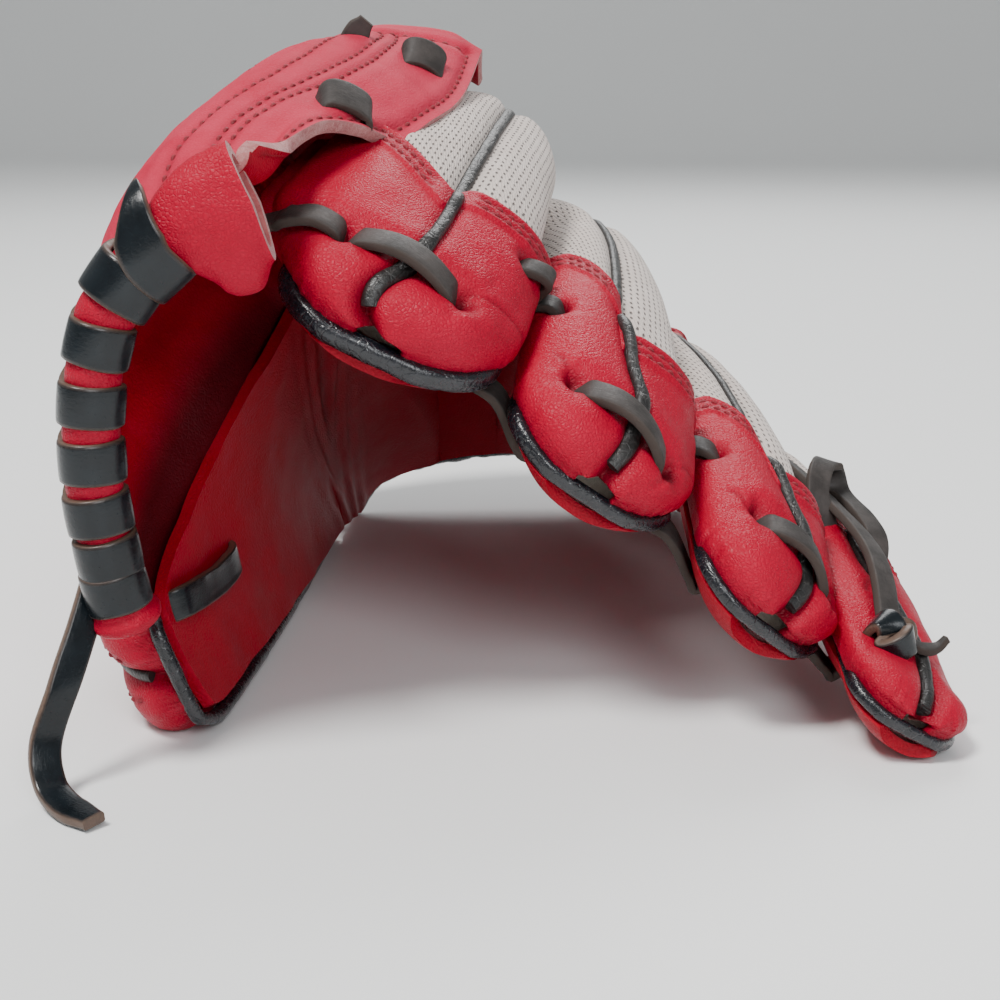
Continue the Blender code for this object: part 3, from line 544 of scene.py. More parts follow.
def thread(name, base, light):
    m = Nodes(name)
    pos = m.add("ShaderNodeTexCoord").outputs["Object"]
    ply = m.noise(pos, 2400.0, 4.0, 0.7, 0.6)
    return m.finish(Base_Color=m.mix(m.range(ply, 0.3, 0.7), base, light), Roughness=m.range(ply, 0.2, 0.8, 0.55, 0.8),
                    Normal=m.bump(ply, 0.7, 0.0003))


THREAD = thread("red_thread", rgb(0.14, 0.003, 0.010), rgb(0.26, 0.008, 0.020))
THREAD_BLACK = thread("black_thread", rgb(0.010, 0.010, 0.012), rgb(0.04, 0.04, 0.042))


def fibre_pad(name, a, b, scale, rough=0.95, depth=0.0006, sheen=0.3):
    m = Nodes(name)
    pos = m.add("ShaderNodeTexCoord").outputs["Object"]
    hair = m.noise(pos, scale, 8.0, 0.78, 1.6)
    lump = m.noise(pos, scale * 0.12, 3.0)
    colour = m.mix(m.range(m.math("ADD", m.math("MULTIPLY", hair, 0.65), m.math("MULTIPLY", lump, 0.35)), 0.35, 0.65), a, b)
    return m.finish(Base_Color=colour, Roughness=m.range(hair, 0.2, 0.8, rough - 0.1, rough), Normal=m.bump(hair, 0.8, depth), Sheen_Weight=sheen)


FELT = fibre_pad("wool_felt", rgb(0.42, 0.37, 0.30), rgb(0.62, 0.57, 0.48), 600.0)
LOOP = fibre_pad("loop_tape", rgb(0.012, 0.012, 0.013), rgb(0.05, 0.05, 0.052), 1500.0, 0.98, 0.0009, 0.5)
LINING = fibre_pad("palm_lining", rgb(0.055, 0.055, 0.060), rgb(0.12, 0.12, 0.125), 1300.0, 0.85, 0.0003, 0.2)


def hook_tape(name):
    m = Nodes(name)
    pos = m.add("ShaderNodeTexCoord").outputs["Object"]
    dots = m.range(m.cells(pos, 900.0, "F1", 0.25), 0.25, 0.55)
    return m.finish(Base_Color=m.mix(dots, rgb(0.075, 0.075, 0.08), rgb(0.010, 0.010, 0.011)), Roughness=m.range(dots, 0.0, 1.0, 0.35, 0.7),
                    Normal=m.bump(dots, 0.9, 0.0006))


HOOK = hook_tape("hook_tape")


def moulded(name, a, b):
    m = Nodes(name)
    pos = m.add("ShaderNodeTexCoord").outputs["Object"]
    g = m.noise(pos, 900.0, 3.0)
    w = m.noise(pos, 50.0, 3.0)
    return m.finish(Base_Color=m.mix(m.range(w, 0.35, 0.65), a, b), Roughness=m.range(g, 0.3, 0.7, 0.38, 0.55), Normal=m.bump(g, 0.25, 0.0002))


PLASTIC = moulded("insert_plastic", rgb(0.62, 0.62, 0.58), rgb(0.74, 0.74, 0.70))


def place(obj, body, *nodes, slot=None):
    if nodes:
        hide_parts(*nodes)
    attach(obj, body)
    return obj


def row(p):
    """A drawing point in mm as a point of the row frame in metres."""
    return (np.asarray(p, float) + SHIFT) * MM


def bend(obj, *nodes, slot=None, zone="web"):
    if nodes:
        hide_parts(*nodes)
    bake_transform(obj)
    return obj


# ------------------------------------------------------------------ fingers

WELT_Y = [0, 6, 12, 20, 35, 70]
HEM_Q = [-1, -0.5, -0.03, 0.03, 0.5, 1]


def span_of(f):
    return float(np.linalg.norm(np.array(f["base"]) - np.array(f["tip"])))


def frames(f, y):
    """Spine points and axes (across, towards the base, out of the back) at distances y from the tip."""
    y = np.atleast_1d(np.asarray(y, float))
    t0, t2 = np.array(f["tip"]), np.array(f["base"])
    mid = math.radians(sum(f["roll"]) / 2)
    t1 = (t0 + t2) / 2 + np.array((math.sin(mid), 0, math.cos(mid))) * 2 * f["arch"]
    u = (y / span_of(f))[:, None]
    c = (1 - u) ** 2 * t0 + 2 * u * (1 - u) * t1 + u * u * t2
    d = unit(2 * (1 - u) * (t1 - t0) + 2 * u * (t2 - t1))
    r = np.radians(f["roll"][0] + (f["roll"][1] - f["roll"][0]) * np.clip(u[:, 0], 0, 1.2))
    n = np.stack([np.sin(r), 0 * r, np.cos(r)], 1)
    n = unit(n - (n * d).sum(1, keepdims=True) * d)
    return c, np.cross(d, n), d, n


def half_width(f, y):
    h0, h1 = f["half"]
    k = np.clip(np.asarray(y, float) / (h0 * 0.95), 0, 1)
    full = h0 + (h1 - h0) * np.clip(np.asarray(y, float) / span_of(f), 0, 1)
    return full * (1 - (1 - k) ** 2.5) ** (1 / 2.5)


def crown(f, y):
    k = np.clip(np.asarray(y, float) / 14.0, 0, 1)
    full = f["crown"][0] + (f["crown"][1] - f["crown"][0]) * np.clip(np.asarray(y, float) / span_of(f), 0, 1)
    return full * (1 - (1 - k) ** 2.2) ** (1 / 2.2)


def back_at(f, Q, Y, lift=0.0):
    """Points of the back of the finger at q (-1 thumb side to 1, a little more turns under) and y, and the distance across."""
    Q, Y = np.broadcast_arrays(np.asarray(Q, float), np.asarray(Y, float))
    q, y = Q.ravel(), Y.ravel()
    c, w, d, n = frames(f, y)
    hw = np.maximum(half_width(f, y) + lift, 0.4)
    h = np.maximum(crown(f, y) + lift, 0.15)
    a = np.clip(np.abs(q), 0, 1) * math.pi / 2
    over = np.maximum(np.abs(q) - 1, 0)
    wing = (q < 0) * ease(y, 9.0, 20.0) * (1 - ease(y, 42.0, 54.0)) * f.get("flange", 0.0)   # leather that runs out towards the web
    x = hw * np.sign(q) * np.sin(a) ** 0.9 * (1 - 0.5 * over) * (1 + 0.05 * wing) - wing * over / 0.15
    z = 2.1 + h * np.maximum(np.cos(a), 0) ** 0.75 - 15.0 * over * (1 - np.minimum(wing / 5.0, 1.0) * 0.9)
    return (c + w * x[:, None] + n * z[:, None]).reshape(Q.shape + (3,)), x.reshape(Q.shape)


def back_point(f, q, y, lift=0.0):
    return back_at(f, [q], [y], lift)[0][0]


def welt_q(f, y):
    """Where the welt runs across the back of the finger."""
    y = np.asarray(y, float)
    q = np.zeros(y.shape)
    for shift in (-3.0, -1.5, 0.0, 1.5, 3.0):
        q = q + np.interp(y + shift, WELT_Y, f["welt"]) / 5
    return q


def hem_y(f, q):
    return np.interp(np.asarray(q, float) - float(welt_q(f, 33.0)), HEM_Q, f["hem"])


def palm_grid(f, q, y, depth=0.0):
    """Palm side of the finger: a padded face that curves up to the binding all round."""
    q, y = np.asarray(q, float), np.asarray(y, float)
    c, w, d, n = frames(f, y)
    hw = (half_width(f, y) - RIM)[:, None, None]
    ramp = np.sqrt(np.clip(1 - (1 - np.clip(y / 11.0, 0, 1)) ** 2, 0, 1))[:, None]
    dish = PALM_PLANE + f["pad"] * (1 - np.abs(q[None]) ** 2.6) * ramp + depth
    return c[:, None] + w[:, None] * hw * q[None, :, None] - n[:, None] * dish[..., None]


def rim_line(f, n, far=12.0):
    L = span_of(f)
    ys = np.concatenate([np.linspace(L - far, 10, 9), [6.0, 3.2, 1.4, 0.45]])
    c, w, d, nn = frames(f, ys)
    tuck = ease(ys, 5.0, 15.0)[:, None]
    hw = half_width(f, ys)[:, None] - 2.0 * tuck
    return spline(np.vstack([c - w * hw - nn * 0.9 * tuck, (c + w * hw - nn * 0.9 * tuck)[::-1]]), n)


TIPS = {}


def tip_at(name, q, y):
    """Rows and columns of a finger's leather for places (q, y)."""
    T = TIPS[name]
    q, y = np.atleast_1d(np.asarray(q, float)), np.atleast_1d(np.asarray(y, float))
    j = np.interp(q, T["q"], np.arange(len(T["q"])))
    s = (y - 0.15) / (hem_y(FINGERS[name], q) - 0.15)
    return np.interp(s, T["s"], np.arange(len(T["s"]))), j


def tip_point(name, q, y, lift=0.0):
    i, j = tip_at(name, q, y)
    T = TIPS[name]
    return (sample(T["top"], i, j) + unit(sample(T["n"], i, j)) * lift)[0]


# surface of the back of the hand, from the finger ends to the wrist
BACK = [[(-40.5, 41.0, 5.0), (-49.0, 21.0, 30.0), (-44.5, -4.0, 56.0), (-31.0, -6.0, 80.0), (-12.0, 7.0, 95.5),
         (6.0, 8.5, 97.0), (29.5, 7.0, 66.5), (49.5, 7.5, 41.5), (65.5, 8.0, 24.0), (67.5, 8.0, 9.5)],
        [(-39.5, 48.0, 5.0), (-49.0, 37.0, 26.0), (-46.0, 25.0, 47.0), (-34.0, 24.0, 67.0), (-16.0, 32.0, 80.0),
         (2.0, 38.0, 80.0), (24.0, 38.0, 61.0), (42.0, 37.0, 40.0), (56.0, 34.0, 22.0), (58.0, 31.0, 7.5)],
        [(-38.5, 54.0, 5.0), (-44.0, 59.0, 18.0), (-38.0, 64.0, 32.0), (-26.0, 67.5, 41.5), (-11.0, 70.0, 47.0),
         (4.0, 70.0, 47.5), (19.0, 69.0, 41.5), (34.0, 66.0, 31.0), (46.0, 60.0, 16.0), (48.5, 55.0, 6.0)]]
BG = patch(BACK, 121, 271)
BN = normals_of(BG, (0.0, 0.4, 1.0))
CREST = [int(np.linalg.norm(BG[16] - back_point(f, 0.0, span_of(f) + 9.0), axis=1).argmin()) for f in FINGERS.values()]
REACH = [15.0, 21.0, 19.0, 15.0]


for num, (name, f) in enumerate(FINGERS.items()):
    L = span_of(f)
    rim = rim_line(f, 160)
    mid_n = frames(f, [L / 2])[3][0]

    # leather tip: two puffed lobes with the welt sunk between them
    s = np.linspace(0, 1, 118) ** 1.25
    q = np.linspace(-1.15, 1.15, 131)
    H = hem_y(f, q)
    Q = np.broadcast_to(q[None], (len(s), len(q)))
    Y = 0.15 + (H[None] - 0.15) * s[:, None]
    G, X = back_at(f, Q, Y)
    N = normals_of(G, mid_n)
    X = X - half_width(f, Y) * np.sign(welt_q(f, Y)) * np.abs(np.sin(welt_q(f, Y) * math.pi / 2)) ** 0.9
    span = np.where(X > 0, 1 - welt_q(f, Y), 1 + welt_q(f, Y))
    rel = np.clip(np.abs(Q - welt_q(f, Y)) / span, 0, 1)
    lobes = np.sin(math.pi * rel ** 0.8)
    D = 1.5 * lobes * bell(Y - 4.0, 4.6) + 0.75 * lobes * ease(Y, 13, 22)
    D += 1.1 * ease(np.abs(Q), 0.62, 0.95) * ease(Y, 4, 12)
    D -= (0.7 + 1.7 * (1 - ease(Y, 5, 14))) * bell(X, 1.7)
    # painted shade: darker in the welt groove, round the lace holes, in the creases, along the binding and in the
    # stitch lines
    painted_shade = 0.6 * bell(X, 1.6) * (1 - ease(Y, 10, 20)) + 0.3 * bell(X, 1.5)
    for q0, y0, q1, y1 in f["runs"]:
        inside = ease(Q, q0 - 0.14, q0) * (1 - ease(Q, q1, q1 + 0.10))
        line = y0 + (y1 - y0) * np.clip((Q - q0) / (q1 - q0), 0, 1)
        D -= 1.2 * bell(Y - line, 2.6) * inside
        D += 0.4 * bell(Y - line - 5.5, 2.6) * inside
    for hq, hy in f["holes"]:
        r = np.linalg.norm(G - back_point(f, hq, hy), axis=2)
        D -= 2.0 * bell(r, 1.9)
        painted_shade = np.maximum(painted_shade, bell(r, 1.7))
        D += 0.07 * np.cos(np.arctan2(Y - hy, (Q - hq) * half_width(f, hy)) * 6.0) * bell(r - 4.0, 2.0)
    edge, along = nearest(G, rim)
    front = 1 - ease(Y, 8, 16)
    D += (0.10 * np.sin(along * 2.3 + 2.2 * ripple(G, 8.0, 40 + num)) + 0.09 * np.sin(along * 4.1 + 1.0)) * bell(edge - 2.4, 1.9) * front
    D += 0.28 * ripple(G, 17.0, 50 + num) + 0.06 * ripple(G, 5.0, 60 + num)
    for cq, cy, cl, ca in f["creases"]:          # short creases that run out from the lace
        t = np.linspace(0, 1, 40)
        line = back_at(f, cq + t * cl * math.cos(ca) / f["half"][0], cy + t * cl * math.sin(ca) + 0.5 * np.sin(t * 5))[0]
        d, run = nearest(G, line)
        fade = 1 - ease(run, cl * 0.5, cl)
        D -= 0.26 * bell(d, 0.55) * fade - 0.08 * bell(d - 1.5, 0.9) * fade
        painted_shade = np.maximum(painted_shade, 0.35 * bell(d, 0.5) * fade)
    D += 0.5 * ease(Y, H[None] - 5.4, H[None] - 4.6)
    painted_shade = np.maximum(painted_shade, 0.55 * bell(edge - 0.8, 1.6) * front)
    top = G + N * D[..., None]
    TIPS[name] = dict(top=top, n=N, q=q, s=s)
    rows = []
    w33 = float(welt_q(f, 33.0))
    for back in (1.5, 3.6):
        for a, b in ((-1.02, w33 - 0.11), (w33 + 0.11, 1.02)):
            t = np.linspace(a, b, 70)
            rows.append(tip_at(name, t, hem_y(f, t) - back))
    for i, j in rows:
        d, _ = nearest(top, sample(top, i, j))
        D -= 0.36 * bell(d, 0.75)
        painted_shade = np.maximum(painted_shade, 0.45 * bell(d, 0.8))
    top = G + N * D[..., None]
    TIPS[name]["top"] = top
    wear = 0.30 * ease(D, 0.8, 2.0) + 0.6 * ease(Y, H[None] - 0.9, H[None])
    tip = shell(name + "_tip", top, top - N * 1.5, [RED, RED, SUEDE], attrs={"wear": wear, "painted_shade": painted_shade}, lip=0.3)
    place(tip, "hand", name + "_tip_outward", name + "_tip_thumbward", slot="red_leather")
    TN = normals_of(top, mid_n)
    TIPS[name]["n"] = TN
    for i, j in rows:
        sew(name + "_stitching", sample(top, i, j), sample(TN, i, j), 2.2, 1.65, 0.33)
    place(stitch_object(name + "_stitching", THREAD), "hand", slot="red_leather")

    # knit back, softly raised on both sides of the welt, running on under the leather of the hand
    s2 = np.linspace(0, 1, 110)
    q2 = np.linspace(-1.10, 1.10, 113)
    H2 = hem_y(f, q2)
    far = L + 36.0
    Y2 = (H2[None] - 5.0) + (far - H2[None] + 5.0) * s2[:, None]
    Q2 = np.broadcast_to(q2[None], Y2.shape)
    G2, X2 = back_at(f, Q2, Y2, -1.5)
    X2 = X2 - (half_width(f, Y2) - 1.5) * np.sign(welt_q(f, Y2)) * np.abs(np.sin(welt_q(f, Y2) * math.pi / 2)) ** 0.9
    N2 = normals_of(G2, mid_n)
    under_i = np.interp(Y2, [L, far], [6.0, 58.0])
    under_j = np.clip(CREST[num] + Q2 * REACH[num], 0, 269.9)
    under = sample(BG, under_i.ravel(), under_j.ravel()).reshape(G2.shape)
    under = under - sample(BN, under_i.ravel(), under_j.ravel()).reshape(G2.shape) * (4.6 + 4.5 * np.abs(Q2) ** 2)[..., None]
    k2 = ease(Y2, L - 8.0, L + 20.0)[..., None]
    G2 = G2 * (1 - k2) + under * k2
    N2 = normals_of(G2, mid_n)
    rel2 = np.clip(np.abs(Q2 - welt_q(f, Y2)), 0, 1)
    D2 = 1.1 * np.sin(math.pi * rel2 ** 0.8) - 1.2 * bell(X2, 2.3) + 0.25 * ripple(G2, 17.0, 70 + num)
    D2 = D2 - 0.8 * bell(Y2 - H2[None], 3.0)
    top2 = G2 + N2 * D2[..., None]
    arc = np.concatenate([np.zeros((len(s2), 1)), np.cumsum(np.linalg.norm(np.diff(top2, axis=1), axis=2), axis=1)], 1)
    arc -= arc[:, 56:57]
    uv = np.stack([arc, Y2], -1)
    shade = 0.8 * bell(Y2 - H2[None], 1.5) + 0.6 * bell(X2, 1.7)
    back = shell(name + "_knit_back", top2, top2 - N2 * 1.2, [MESH, MESH, MESH], uv=uv, attrs={"painted_shade": shade})
    place(back, "hand", name + "_mesh_back", slot="mesh_fabric")

    # welt: a rolled strip in the groove, flat where it runs on over the knit
    yw = np.linspace(0.7, L + 26.0, 150)
    qw = welt_q(f, yw)
    h0 = float(np.interp(0.0, HEM_Q, f["hem"]))
    i1, j1 = tip_at(name, qw, yw)
    on_tip = sample(top, i1, j1)
    s_k = (yw - (np.interp(qw, q2, H2) - 5.0)) / (far - np.interp(qw, q2, H2) + 5.0)
    on_knit = sample(top2, np.interp(s_k, s2, np.arange(len(s2))), np.interp(qw, q2, np.arange(len(q2))))
    n_w = frames(f, yw)[3]
    k = ease(yw, h0 - 3.0, h0 + 3.0)[:, None]
    line = (on_tip + n_w * (0.55 + 1.0 * (1 - ease(yw, 4.0, 9.0)))[:, None]) * (1 - k) + (on_knit + n_w * 0.45) * k
    for _ in range(6):
        line[1:-1] = (line[:-2] + line[1:-1] * 2 + line[2:]) / 4
    near = 1 - ease(yw, 9.0, 17.0)
    welt = rope(name + "_welt_strip", line, n_w, 1.1 - 0.05 * k[:, 0] + (0.42 if num < 3 else 0.1) * near, 1.0 - 0.3 * k[:, 0] + 0.3 * near, [WELT], 80 + num, 0.04)
    place(welt, "hand", name + "_welt", slot="black_trim")

    # rolled binding round the edge
    nb = frames(f, [20.0])[3][0]
    binding = rope(name + "_edge_binding", rim, nb, f["edge"][0], f["edge"][1], [BIND], 90 + num, 0.055, 20, 0.85)
    place(binding, "hand", name + "_binding", slot="black_trim")

    # felt inside the finger, between the palm leather and the hand
    ys = np.linspace(6.0, L - 8.0, 40)
    qs = np.linspace(-0.7, 0.7, 24)
    c, w, d, n = frames(f, ys)
    up = c[:, None] + w[:, None] * (half_width(f, ys)[:, None] * qs[None])[..., None] + n[:, None] * 1.2
    low = palm_grid(f, qs, ys, -0.9)
    fat = 0.5 * (1 - (qs / 0.7) ** 4)[None, :, None]
    pad = shell(name + "_felt", up + n[:, None] * (fat - 0.5), low, [FELT, FELT, FELT], lip=0.4)
    place(pad, "hand", name + "_felt_pad", slot="felt")

# ------------------------------------------------------------------ thumb

THUMB = [((-47.2, -77.5, 6.0), (-51.5, -77.5, 17.0), 3.0),
         ((-44.9, -72.0, 2.6), (-54.0, -73.0, 25.5), 8.5),
         ((-42.5, -50.0, 2.4), (-50.5, -59.0, 37.0), 13.5),
         ((-40.2, -22.0, 2.4), (-45.0, -47.0, 48.5), 14.5),
         ((-38.4, 8.0, 2.3), (-39.5, -36.0, 58.5), 13.0),
         ((-37.0, 36.0, 2.2), (-35.0, -27.0, 67.0), 10.0)]
THUMB_K = spline(np.array([[*b, *t, h] for b, t, h in THUMB]), 601)


def thumb_frames(r):
    r = np.clip(np.atleast_1d(np.asarray(r, float)), 0, 1)
    x = np.linspace(0, 1, 601)
    k = np.stack([np.interp(r, x, THUMB_K[:, i]) for i in range(7)], 1)
    ka = np.stack([np.interp(np.clip(r + 0.02, 0, 1), x, THUMB_K[:, i]) for i in range(6)], 1)
    kb = np.stack([np.interp(np.clip(r - 0.02, 0, 1), x, THUMB_K[:, i]) for i in range(6)], 1)
    along = unit((ka - kb).reshape(-1, 2, 3).mean(1))
    b, t = k[:, :3], k[:, 3:6]
    n = unit(np.cross(unit(t - b), along))
    n = np.where(n[:, :1] > 0, -n, n)
    return b, t, n, k[:, 6]


def thumb_grid(r, q, z):
    """Points over r (tip to fold) and q (bottom edge to top edge), z mm out of the binding plane."""
    r, q = np.atleast_1d(np.asarray(r, float)), np.asarray(q, float)
    b, t, n, h = thumb_frames(r)
    q = np.broadcast_to(q, (len(r), q.shape[-1]))
    z = np.broadcast_to(z, q.shape)
    bow = 3.2 * (1 - q ** 2) * np.clip(r * 3.0, None, 1)[:, None]
    return ((b + t) / 2)[:, None] + ((t - b) / 2)[:, None] * q[..., None] + n[:, None] * (bow + z)[..., None]


def thumb_half(r):
    b, t, n, h = thumb_frames(r)
    return np.linalg.norm(t - b, axis=1) / 2


def thumb_back_grid(r, q, inset=0.0):
    r, q = np.atleast_1d(np.asarray(r, float)), np.asarray(q, float)
    half, h = thumb_half(r), thumb_frames(r)[3]
    a = q * math.pi / 2
    k = (np.sign(q) * np.abs(np.sin(a)) ** 0.9)[None] * (np.maximum(half - inset, 0.5) / half)[:, None]
    nose = np.sqrt(np.clip(1 - (1 - np.clip(r / 0.11, 0, 1)) ** 2, 0, 1))[:, None]        # closes on the binding at the tip
    z = (2.1 + np.maximum(h - inset, 0.2)[:, None] * (np.maximum(np.cos(a), 0) ** 0.75)[None]) * nose
    return thumb_grid(r, k, z), k * half[:, None]


def thumb_palm_grid(r, q, depth=0.0):
    r, q = np.atleast_1d(np.asarray(r, float)), np.asarray(q, float)
    half = thumb_half(r)
    k = q[None] * ((half - RIM) / half)[:, None]
    return thumb_grid(r, k, -PALM_PLANE - depth)


rt = np.linspace(0.0, 1.0, 120) ** 1.2 * 0.985
qt = np.linspace(-1, 1, 121)
G, X = thumb_back_grid(rt, qt)
N = normals_of(G, (-1, 0, 0))
thumb_rim = spline(np.vstack([thumb_grid([0.97, 0.85, 0.7, 0.55, 0.4, 0.25, 0.12, 0.05, 0.0], np.array([-1.0]), 0.0)[:, 0],
                              thumb_grid([0.0, 0.03, 0.06], np.array([1.0]), 0.0)[:, 0]]), 200)
mm_along = np.linalg.norm(G[:, 60] - G[0, 60], axis=1)[:, None]
lobes = np.sin(math.pi * np.abs(qt) ** 0.85)[None]
D = 1.3 * lobes * bell(mm_along - 9.0, 9.0) + 0.4 * lobes
D -= (0.6 + 1.8 * (1 - ease(mm_along, 8, 26))) * bell(X, 2.0)
edge, along = nearest(G, thumb_rim)
D += 0.26 * np.sin(along * 1.9 + 2.0 * ripple(G, 9.0, 5)) * bell(edge - 2.5, 3.0)
D += 0.35 * ripple(G, 20.0, 6) + 0.10 * ripple(G, 5.5, 7)
D *= (1 - ease(rt, 0.93, 0.985))[:, None]
# painted shade: darker in the welt groove, along the binding and in the stitch lines
painted_shade = np.maximum(0.5 * bell(X, 1.6), 0.5 * bell(edge, 2.2))
rows = []
for qq in (-0.20, 0.20):
    rows.append((np.linspace(10, 112, 90), np.full(90, np.interp(qq, qt, np.arange(121)))))
for i, j in rows:
    d, _ = nearest(G, sample(G, i, j))
    D -= 0.32 * bell(d, 0.8)
    painted_shade = np.maximum(painted_shade, 0.4 * bell(d, 0.8))
top = G + N * D[..., None]
cover_obj = shell("thumb_back_leather", top, top - N * 1.6, [RED, RED, SUEDE], attrs={"painted_shade": painted_shade, "wear": 0.3 * ease(D, 0.6, 1.6)})
place(cover_obj, "thumb", "thumb_cover_lower", "thumb_cover_upper", slot="red_leather")
TN = normals_of(top, (-1, 0, 0))
for i, j in rows:
    sew("thumb_stitching", sample(top, i, j), sample(TN, i, j), 2.5, 1.8, 0.33)
place(stitch_object("thumb_stitching", THREAD), "thumb", slot="red_leather")
iw = np.linspace(7, 116, 90)
line = sample(top, iw, np.full(90, 60.0)) + sample(TN, iw, np.full(90, 60.0)) * 0.8
for _ in range(3):
    line[1:-1] = (line[:-2] + line[1:-1] * 2 + line[2:]) / 4
place(rope("thumb_welt_strip", line, sample(TN, iw, np.full(90, 60.0)), 1.0, 0.9, [WELT], 11, 0.04), "thumb", "thumb_welt", slot="black_trim")
place(rope("thumb_edge_binding", thumb_rim, (-1, 0, 0.2), 1.0, 1.15, [BIND], 12, 0.05, 20, 0.85), "thumb", "thumb_binding", slot="black_trim")
rr, qq = np.linspace(0.12, 0.9, 50), np.linspace(-0.78, 0.22, 30)
fat = 0.5 * (1 - ((qq + 0.28) / 0.5) ** 4)[None]
pad = shell("thumb_felt", thumb_grid(rr, qq, 3.0 + fat), thumb_grid(rr, qq, 0.5), [FELT, FELT, FELT], lip=0.4)
place(pad, "thumb", "thumb_felt_pad", slot="felt")
rr, qq = np.linspace(0.2, 0.75, 30), np.linspace(-0.35, 0.35, 16)
place(shell("thumb_insert", thumb_grid(rr, qq, 5.3), thumb_grid(rr, qq, 4.3), [PLASTIC, PLASTIC, PLASTIC], lip=0.3), "thumb", "thumb_stiffener",
      slot="insert_plastic")

# ------------------------------------------------------------------ palm

HEEL = [(-34.0, 53.0, 2.6), (-28.0, 58.0, 9.0), (-14.0, 61.0, 13.0), (2.0, 63.0, 14.5), (18.0, 63.0, 13.5),
        (32.0, 60.0, 9.0), (43.0, 55.0, 2.6)]
N_T, N_F, N_B = 30, 20, 44
q_t, q_f = np.linspace(-1, 1, N_T), np.linspace(-1, 1, N_F)
front = np.vstack([thumb_palm_grid([1.0], q_t)[0]] + [palm_grid(f, q_f, [span_of(f) - 2.0])[0] for f in FINGERS.values()])
heel = spline(HEEL, len(front))
kk = np.linspace(0, 1, N_B)[:, None, None]
ctl = (front + heel) / 2 + np.array((0.0, 0.17, 0.27)) * np.maximum(front[:, 2:] - 4.0, 0.0)
BASE = (1 - kk) ** 2 * front + 2 * kk * (1 - kk) * ctl + kk * kk * heel
BASE_N = normals_of(BASE, (0.3, 0.4, 1.0))
verts, faces = [p for p in BASE.reshape(-1, 3)], []
ids = np.arange(N_B * len(front)).reshape(N_B, -1)
for i in range(N_B - 1):
    for j in range(len(front) - 1):
        faces.append([int(ids[i, j]), int(ids[i, j + 1]), int(ids[i + 1, j + 1]), int(ids[i + 1, j])])


def lobe(first, grid):
    prev = ids[0, first:first + grid.shape[1]]
    for line in grid:
        cur = np.arange(len(verts), len(verts) + len(line))
        verts.extend(line)
        for j in range(len(cur) - 1):
            faces.append([int(cur[j]), int(cur[j + 1]), int(prev[j + 1]), int(prev[j])])
        prev = cur


lobe(0, thumb_palm_grid(np.linspace(0.975, 0.06, 56), q_t))
for k, f in enumerate(FINGERS.values()):
    L = span_of(f)
    lobe(N_T + k * N_F, palm_grid(f, q_f, 1.2 + (L - 4.0 - 1.2) * np.linspace(1, 0, 56) ** 1.7))
verts = np.array(verts)
nrm = np.zeros_like(verts)
for f in faces:
    a, b, c, d = (verts[i] for i in f)
    fn = np.cross(c - a, d - b)
    for i in f:
        nrm[i] += fn
nrm = unit(nrm)
if (nrm.mean(0) @ np.array((0.3, 0.4, 1.0))) < 0:
    nrm = -nrm
    faces = [f[::-1] for f in faces]
fold_run = FOLD_A + (FOLD_B - FOLD_A) * np.linspace(-0.1, 1.1, 120)[:, None]
d_fold, s_fold = nearest(verts, fold_run)
D = 0.45 * ripple(verts, 24.0, 21) + 0.14 * ripple(verts, 7.0, 22)
D += 0.55 * bell(d_fold, 2.2) + 0.35 * np.sin(d_fold * 1.3 + s_fold * 0.12) * bell(d_fold, 10.0)
# painted shade in the crease of the palm fold
painted_shade = 0.45 * bell(d_fold, 1.8)
verts = verts + nrm * D[:, None]
palm = thick_mesh("palm_and_pocket", verts, faces, nrm, LEATHER, [INNER, INNER, SUEDE], {"painted_shade": painted_shade})
bend(palm, "palm_leather", slot="red_leather", zone="palm")

F0 = N_T
cut = (slice(7, -7), slice(F0 + 5, -5))
soft = 0.35 * ripple(BASE[cut], 15.0, 23)
swell = np.ones(soft.shape)
pad = shell("palm_felt", BASE[cut] + BASE_N[cut] * (4.3 + 0.2 * soft)[..., None], BASE[cut] + BASE_N[cut] * 0.9, [FELT, FELT, FELT], lip=0.5)
place(pad, "hand", "palm_felt_pad", slot="felt")
lin = shell("palm_lining_cloth", BASE[cut] + BASE_N[cut] * (5.9 + 0.2 * soft)[..., None], BASE[cut] + BASE_N[cut] * (5.0 + 0.2 * soft)[..., None],
            [LINING, LINING, LINING])
place(lin, "hand", "palm_lining", slot="lining")
cut = (slice(15, -7), slice(5, F0))
pad = shell("heel_felt", BASE[cut] + BASE_N[cut] * 3.4, BASE[cut] + BASE_N[cut] * 0.9, [FELT, FELT, FELT], lip=0.5)
place(pad, "hand", "heel_felt_pad", slot="felt")

# ------------------------------------------------------------------ back of the hand and wrist

first = 10.0 + 27.0 * ease(np.arange(271), 84, 112)      # the front edge sits back behind the fingers
pick = first[None] + (120.0 - first[None]) * np.linspace(0, 1, 111)[:, None]
lower = np.minimum(pick.astype(int), 119)
part = (pick - lower)[..., None]
cols = np.broadcast_to(np.arange(271)[None], pick.shape)
G = BG[lower, cols] * (1 - part) + BG[lower + 1, cols] * part
N = unit(BN[lower, cols] * (1 - part) + BN[lower + 1, cols] * part)
crest = CREST
dip = np.zeros(271)
for a, b, depth in zip(crest, crest[1:], (13.0, 13.0, 10.0)):     # it drapes into the valleys between the fingers
    t = np.clip((np.arange(271) - a) / (b - a), 0, 1)
    dip += depth * np.sin(math.pi * t) ** 2
G = G - N * (dip[None] * (1 - ease(np.arange(111), 0, 42))[:, None])[..., None]
N = normals_of(G, (0.0, 0.4, 1.0))
D = 0.5 * ripple(G, 24.0, 31) + 0.16 * ripple(G, 8.0, 32) - 1.3 * (1 - ease(np.arange(len(G)), 0, 12))[:, None]
n_i, n_j = G.shape[:2]
rows = []
